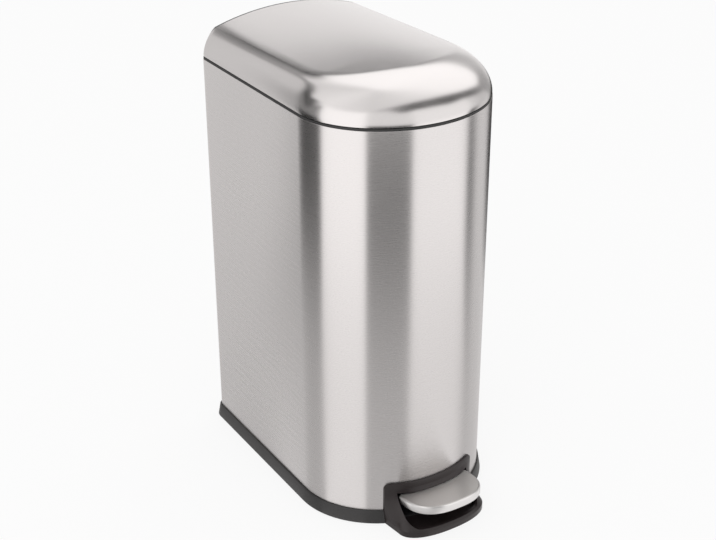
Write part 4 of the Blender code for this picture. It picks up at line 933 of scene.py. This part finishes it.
def bumped(tree, shader, value, strength, distance):
    made = tree.nodes.new("ShaderNodeBump")
    made.inputs["Strength"].default_value = strength
    made.inputs["Distance"].default_value = distance
    link(tree, value, made.inputs["Height"])
    link(tree, made.outputs["Normal"], shader.inputs["Normal"])


def edge_wear(tree, radius, amount):
    """How worn a place is: up to amount along sharp edges, broken up by a noise, and 0 elsewhere."""
    rounded = tree.nodes.new("ShaderNodeBevel")
    rounded.samples = 4
    rounded.inputs["Radius"].default_value = radius
    geometry = tree.nodes.new("ShaderNodeNewGeometry")
    alike = tree.nodes.new("ShaderNodeVectorMath")
    alike.operation = "DOT_PRODUCT"
    link(tree, rounded.outputs["Normal"], alike.inputs[0])
    link(tree, geometry.outputs["Normal"], alike.inputs[1])
    worn = ranged(tree, alike.outputs["Value"], amount, 0.0, from_low=0.80, from_high=0.99)
    patches = ranged(tree, noise(tree, plain(tree), scale=140.0), low=0.2, high=1.0)
    product = tree.nodes.new("ShaderNodeMath")
    product.operation = "MULTIPLY"
    link(tree, worn, product.inputs[0])
    link(tree, patches, product.inputs[1])
    return product.outputs[0]


def mixed_colour(tree, share, first, second):
    """The first colour, and by share the second."""
    made = tree.nodes.new("ShaderNodeMix")
    made.data_type = "RGBA"
    sockets = {socket.identifier: socket for socket in made.inputs}
    sockets["B_Color"].default_value = (*second, 1)
    link(tree, share, sockets["Factor_Float"])
    link(tree, first, sockets["A_Color"])
    return {socket.identifier: socket for socket in made.outputs}["Result_Color"]


def facing_up(tree):
    """1 where the surface lies, 0 where it stands."""
    geometry = tree.nodes.new("ShaderNodeNewGeometry")
    parts = tree.nodes.new("ShaderNodeSeparateXYZ")
    link(tree, geometry.outputs["Normal"], parts.inputs[0])
    return ranged(tree, parts.outputs["Z"], 0.0, 1.0, from_low=0.70, from_high=0.95)


def brushed_steel(name, grain, roughness, stretch, axis, turn, tone=SHEET_TONE, painted_dark_top=None):
    """Brushed stainless sheet: long fine grain, slow clouding and slightly uneven gloss; where a dark top
    colour is given, the faces that lie flat take it as a painted dark reflection.
    """
    made, tree, shader = look(name)
    shader.inputs["Metallic"].default_value = 1.0
    shader.inputs["Anisotropic"].default_value = stretch
    shader.inputs["Anisotropic Rotation"].default_value = turn
    tangent = tree.nodes.new("ShaderNodeTangent")
    tangent.direction_type = "RADIAL"
    tangent.axis = axis
    link(tree, tangent.outputs["Tangent"], shader.inputs["Tangent"])
    fine = noise(tree, stretched(tree, grain), scale=1.0, detail=4.0, rough=0.6)
    clouds = noise(tree, stretched(tree, (3, 3, 3)), scale=1.0, detail=2.0)
    darker = tuple(c * GRAIN_DARK_SHARE for c in tone)
    bright = tuple(c * WORN_BRIGHT_SHARE for c in tone)
    worn = edge_wear(tree, radius=0.0008, amount=0.6)
    sheet = tinted(tree, fine, darker, tone)
    # Painted dark reflection: faces that lie flat take the darker colour, which stands in for the dark
    # bezel mirrored on the tread's top.
    if painted_dark_top:
        sheet = mixed_colour(tree, facing_up(tree), sheet, painted_dark_top)
    link(tree, mixed_colour(tree, worn, sheet, bright), shader.inputs["Base Color"])
    mixed = tree.nodes.new("ShaderNodeMath")
    mixed.operation = "ADD"
    link(tree, ranged(tree, fine, roughness - GRAIN_GLOSS, roughness + GRAIN_GLOSS), mixed.inputs[0])
    link(tree, ranged(tree, clouds, -CLOUD_GLOSS, CLOUD_GLOSS), mixed.inputs[1])
    link(tree, mixed.outputs[0], shader.inputs["Roughness"])
    bumped(tree, shader, fine, strength=0.02, distance=0.0001)
    return made


def plastic(name, dark, light, roughness, fineness, depth, shine):
    """Moulded plastic: spark-eroded grain and a slow change of gloss."""
    made, tree, shader = look(name)
    shader.inputs["Specular IOR Level"].default_value = shine
    grain = noise(tree, plain(tree), scale=fineness, detail=2.0)
    clouds = noise(tree, plain(tree), scale=22.0)
    rubbed = tuple(c * RUBBED_SHARE + RUBBED_LIFT for c in light)
    worn = edge_wear(tree, radius=0.0010, amount=0.35)
    moulded = tinted(tree, clouds, dark, light)
    link(tree, mixed_colour(tree, worn, moulded, rubbed), shader.inputs["Base Color"])
    down, up = PLASTIC_GLOSS
    link(tree, ranged(tree, clouds, roughness - down, roughness + up), shader.inputs["Roughness"])
    bumped(tree, shader, grain, strength=depth, distance=0.0002)
    return made


def zinc(name):
    """Zinc-plated steel: pale spangle and dull patches."""
    made, tree, shader = look(name)
    shader.inputs["Metallic"].default_value = 1.0
    spangle = tree.nodes.new("ShaderNodeTexVoronoi")
    spangle.inputs["Scale"].default_value = 320.0
    link(tree, plain(tree), spangle.inputs["Vector"])
    clouds = noise(tree, plain(tree), scale=60.0, detail=4.0)
    plated = tinted(tree, clouds, dark=(0.46, 0.47, 0.49), light=(0.62, 0.63, 0.64))
    worn = edge_wear(tree, radius=0.0005, amount=0.5)
    link(tree, mixed_colour(tree, worn, plated, (0.74, 0.74, 0.73)), shader.inputs["Base Color"])
    uneven = ranged(tree, spangle.outputs["Distance"], 0.30, 0.46, from_low=0.0, from_high=0.8)
    link(tree, uneven, shader.inputs["Roughness"])
    bumped(tree, shader, clouds, strength=0.08, distance=0.0002)
    return made


def dress():
    """Gives every piece and every CAD node its material."""
    steel_body = brushed_steel(
        "brushed_steel_body", grain=(40, 40, 2600), roughness=0.28, stretch=0.9, axis="Z", turn=0.25
    )
    steel_lid = brushed_steel(
        "brushed_steel_lid", grain=(40, 2200, 40), roughness=0.21, stretch=0.3, axis="X", turn=0.0
    )
    steel_tread = brushed_steel(
        "brushed_steel_tread",
        grain=(30, 2400, 900),
        roughness=0.34,
        stretch=0.9,
        axis="X",
        turn=0.0,
        tone=(0.76, 0.75, 0.74),
        # Painted dark reflection on the tread's top, standing in for the dark bezel that it mirrors.
        painted_dark_top=(0.53, 0.515, 0.50),
    )
    black, inner_black, bezel_black, bucket_black, rubber = [plastic(*facts) for facts in PLASTICS]
    by_slot = {
        "steel": steel_body,
        "zinc_steel": zinc("zinc_plated_steel"),
        "plastic": inner_black,
        "bezel_plastic": bezel_black,
        "bucket_plastic": bucket_black,
        "rubber": rubber,
    }
    for part in frame["record"]["subparts"]:
        obj = node(part["node"])
        obj.data.materials.clear()
        obj.data.materials.append(by_slot[part["material_slot"]])
    return {
        "body_steel": steel_body,
        "lid_steel": steel_lid,
        "pedal_tread": steel_tread,
        "base_skirt": black,
        "top_band": inner_black,
        "lid_rear_wall": inner_black,
        "bezel_moulding": bezel_black,
        "bucket": bucket_black,
        "lid_lining": inner_black,
    }


def camera():
    """The photo's camera, as its outlines give it: angles, distance and focal length."""
    azimuth, elevation, roll = radians(CAMERA_AZIMUTH), radians(CAMERA_ELEVATION), radians(CAMERA_ROLL)
    back = Vector((sin(azimuth) * cos(elevation), -cos(azimuth) * cos(elevation), sin(elevation)))
    right = Vector((cos(azimuth), sin(azimuth), 0))
    up = back.cross(right)
    rolled_right = cos(roll) * right + sin(roll) * up
    rolled_up = cos(roll) * up - sin(roll) * right
    data = bpy.data.cameras.new("camera")
    data.sensor_width = SENSOR_WIDTH
    data.lens = CAMERA_FOCAL * SENSOR_WIDTH / PICTURE_WIDTH
    obj = bpy.data.objects.new("camera", data)
    turn = Matrix((rolled_right, rolled_up, back)).transposed()
    place = Vector(CAMERA_PLACE) + Vector((0, PLAN_Y, 0))
    obj.matrix_world = Matrix.Translation(place) @ turn.to_4x4()
    bpy.context.scene.collection.objects.link(obj)
    bpy.context.scene.camera = obj


def area_lamp(name, place, target, size, power):
    """A soft lamp that lights the bin and shows in no reflection."""
    data = bpy.data.lights.new(name, "AREA")
    data.shape = "RECTANGLE"
    data.size, data.size_y = size
    data.energy = power
    obj = bpy.data.objects.new(name, data)
    obj.location = place
    obj.rotation_mode = "QUATERNION"
    obj.rotation_quaternion = (Vector(target) - Vector(place)).to_track_quat("-Z", "Y")
    obj.visible_glossy = False
    bpy.context.scene.collection.objects.link(obj)


def smooth_step(value, edge):
    """0 below -edge, 1 above edge, and a smooth rise between."""
    share = min(max((value + edge) / (2 * edge), 0.0), 1.0)
    return share * share * (3 - 2 * share)


def between(keys, place):
    """Values at a place on straight runs between keys, whose first number is their place."""
    for low, high in zip(keys, keys[1:]):
        if low[0] <= place <= high[0]:
            share = (place - low[0]) / (high[0] - low[0])
            return [a + (b - a) * share for a, b in zip(low[1:], high[1:])]
    return list(keys[-1][1:])


def wall_levels(azimuth):
    """Levels of the floor, the lower wall and the upper wall at this azimuth."""
    levels = [0.0, 0.0, 0.0]
    for start, stop, *own in TENT_CARDS:
        weight = smooth_step(azimuth - start, TENT_EDGE) * smooth_step(stop - azimuth, TENT_EDGE)
        levels = [level + weight * value for level, value in zip(levels, own)]
    return levels


def tent_level(azimuth, height):
    """How bright the tent is at this azimuth and height."""
    floor_level, low, high = wall_levels(azimuth)
    if height <= 0:
        return floor_level
    # The card's foot takes on the floor's level
    foot = max(1 - height / TENT_FOOT, 0.0)
    level = low + (min(floor_level, low + FOOT_LIMIT) - low) * foot
    level += (high - level) * smooth_step(height - TENT_CARD_TOP, TENT_FADE)
    gap_height, gap_half, gap_level = between(TENT_GAP, azimuth)
    over = between(TENT_OVERHEAD, azimuth)[0]
    level += (over - level) * smooth_step(height - gap_height, TENT_FADE)
    inside = smooth_step(gap_half - abs(height - gap_height), TENT_FADE)
    return level + (gap_level - level) * inside


def polar_mesh(name, rings):
    """A mesh of rings round the bin, each a radius and a height, with a light level at each point."""
    columns = TENT_COLUMNS
    points, levels, faces = [], [], []
    for radius, height in rings:
        for i in range(columns):
            azimuth = 360 * i / columns - 180
            turn = radians(azimuth)
            points.append((radius * sin(turn), PLAN_Y - radius * cos(turn), height))
            levels.append(tent_level(azimuth, height))
    for j in range(len(rings) - 1):
        for i in range(columns):
            k = (i + 1) % columns
            low, high = j * columns, (j + 1) * columns
            faces.append((low + i, high + i, high + k, low + k))
    return levelled(name, points, faces, levels)


def levelled(name, points, faces, levels):
    """A stage mesh with a light level at each point."""
    mesh = bpy.data.meshes.new(name)
    mesh.from_pydata(points, [], faces)
    attribute = mesh.attributes.new("level", "FLOAT", "POINT")
    for entry, level in zip(attribute.data, levels):
        entry.value = level
    obj = bpy.data.objects.new(name, mesh)
    bpy.context.scene.collection.objects.link(obj)
    return obj


def only_mirrored(obj):
    """Shows a stage mesh to reflections alone, as light at its own levels."""
    obj.visible_camera = False
    obj.visible_diffuse = False
    obj.visible_transmission = False
    obj.visible_shadow = False
    made, tree, glow, surface = glowing(obj.name + "_light")
    link(tree, glow, surface)
    obj.data.materials.append(made)


def glowing(name):
    """A material with an emission whose strength is the mesh's level."""
    made = bpy.data.materials.new(name)
    made.use_nodes = True
    made.cycles.emission_sampling = "NONE"
    tree = made.node_tree
    tree.nodes.clear()
    output = tree.nodes.new("ShaderNodeOutputMaterial")
    glow = tree.nodes.new("ShaderNodeEmission")
    glow.inputs["Color"].default_value = GLOW_COLOUR
    level = tree.nodes.new("ShaderNodeAttribute")
    level.attribute_name = "level"
    link(tree, level.outputs["Fac"], glow.inputs["Strength"])
    return made, tree, glow.outputs[0], output.inputs[0]


def tent():
    """A light tent round the bin that only reflections show: bright cards, dark gaps and a bright top."""
    whole = TENT_WALL_ROWS + TENT_FIRST_ROW
    rings = [(TENT_RADIUS, TENT_TOP * (j + TENT_FIRST_ROW) / whole) for j in range(TENT_WALL_ROWS + 1)]
    for j in range(1, TENT_TOP_ROWS + 1):
        rings.append((TENT_RADIUS * (1 - j / TENT_TOP_ROWS) + FLOOR_RADII[0], TENT_TOP))
    only_mirrored(polar_mesh("light_tent", rings))


def floor():
    """A white floor that keeps a soft shadow; the camera sees it as background."""
    obj = polar_mesh("floor", [(radius, 0.0) for radius in FLOOR_RADII])
    made, tree, glow, surface = glowing("white_floor")
    diffuse = tree.nodes.new("ShaderNodeBsdfDiffuse")
    diffuse.inputs["Color"].default_value = FLOOR_COLOUR
    white = tree.nodes.new("ShaderNodeEmission")
    path = tree.nodes.new("ShaderNodeLightPath")
    share = tree.nodes.new("ShaderNodeMath")
    share.operation = "MULTIPLY"
    share.inputs[1].default_value = FLOOR_GLOW_SHARE
    seen = tree.nodes.new("ShaderNodeMixShader")
    mirrored_in = tree.nodes.new("ShaderNodeMixShader")
    link(tree, path.outputs["Is Camera Ray"], share.inputs[0])
    link(tree, share.outputs[0], seen.inputs[0])
    link(tree, diffuse.outputs[0], seen.inputs[1])
    link(tree, white.outputs[0], seen.inputs[2])
    link(tree, path.outputs["Is Glossy Ray"], mirrored_in.inputs[0])
    link(tree, seen.outputs[0], mirrored_in.inputs[1])
    link(tree, glow, mirrored_in.inputs[2])
    link(tree, mirrored_in.outputs[0], surface)
    obj.data.materials.append(made)


def mirror_stations():
    """Places on the body's plan that the camera sees, each with the way its mirrored rays go."""
    eye = bpy.context.scene.camera.matrix_world.translation
    half_width = BODY_WIDTH / 2
    side_start, side_end = REAR_Y - REAR_CORNER_RADIUS, FRONT_Y + ARCH_DEPTH
    places = []
    for i in range(MIRROR_SIDE_STEPS):
        y = side_start + (side_end - side_start) * i / MIRROR_SIDE_STEPS
        places.append((-half_width, y, -1.0, 0.0))
    for i in range(MIRROR_FRONT_STEPS + 1):
        turn = pi * (i / MIRROR_FRONT_STEPS - 0.5)
        normal = Vector((sin(turn) / half_width, -cos(turn) / ARCH_DEPTH)).normalized()
        y = FRONT_Y + ARCH_DEPTH * (1 - cos(turn))
        places.append((half_width * sin(turn), y, normal.x, normal.y))
    stations = []
    for x, y, nx, ny in places:
        view = Vector((x - eye.x, y - eye.y)).normalized()
        facing = view.x * nx + view.y * ny
        if facing < -FACING_LIMIT:
            stations.append((x, y, view.x - 2 * facing * nx, view.y - 2 * facing * ny))
    return stations


def mirrored_floor():
    """Strips that run straight out over the floor from the body, each as bright as where it ends."""
    points, levels, faces = [], [], []
    steps = MIRROR_STRIP_STEPS
    stations = mirror_stations()
    for x, y, dx, dy in stations:
        across = x * dx + (y - PLAN_Y) * dy
        reach = sqrt(across**2 - x**2 - (y - PLAN_Y) ** 2 + TENT_RADIUS**2) - across
        azimuth = degrees(atan2(x + dx * reach, PLAN_Y - y - dy * reach))
        for k in range(steps + 1):
            points.append((x + dx * reach * k / steps, y + dy * reach * k / steps, FIT_GAP))
            levels.append(wall_levels(azimuth)[0])
    for i in range(len(stations) - 1):
        for k in range(steps):
            a = i * (steps + 1) + k
            faces.append((a, a + 1, a + steps + 2, a + steps + 1))
    only_mirrored(levelled("mirrored_floor", points, faces, levels))


def world():
    """A white studio: the camera sees it at full strength, the bin at its own level."""
    made = bpy.data.worlds.new("studio")
    bpy.context.scene.world = made
    made.use_nodes = True
    tree = made.node_tree
    background = tree.nodes["Background"]
    path = tree.nodes.new("ShaderNodeLightPath")
    strength = tree.nodes.new("ShaderNodeMapRange")
    strength.inputs["To Min"].default_value = WORLD_LEVEL
    strength.inputs["To Max"].default_value = 1.0
    link(tree, path.outputs["Is Camera Ray"], strength.inputs["Value"])
    link(tree, strength.outputs[0], background.inputs["Strength"])
    background.inputs["Color"].default_value = (1, 1, 1, 1)


def main():
    camera()
    materials = dress()
    soften_nodes()
    made = [body_shell(), base_skirt(), top_band(), lid_steel(), lid_rear(), bezel(), pedal_tread()]
    made += [bucket(), liner()]
    for obj in made:
        obj.data.materials.clear()
        obj.data.materials.append(materials[obj.name])
    floor()
    world()
    tent()
    mirrored_floor()
    area_lamp("key", KEY_PLACE, KEY_TARGET, KEY_SIZE, KEY_POWER)
    bpy.context.scene.view_settings.view_transform = "Standard"


main()
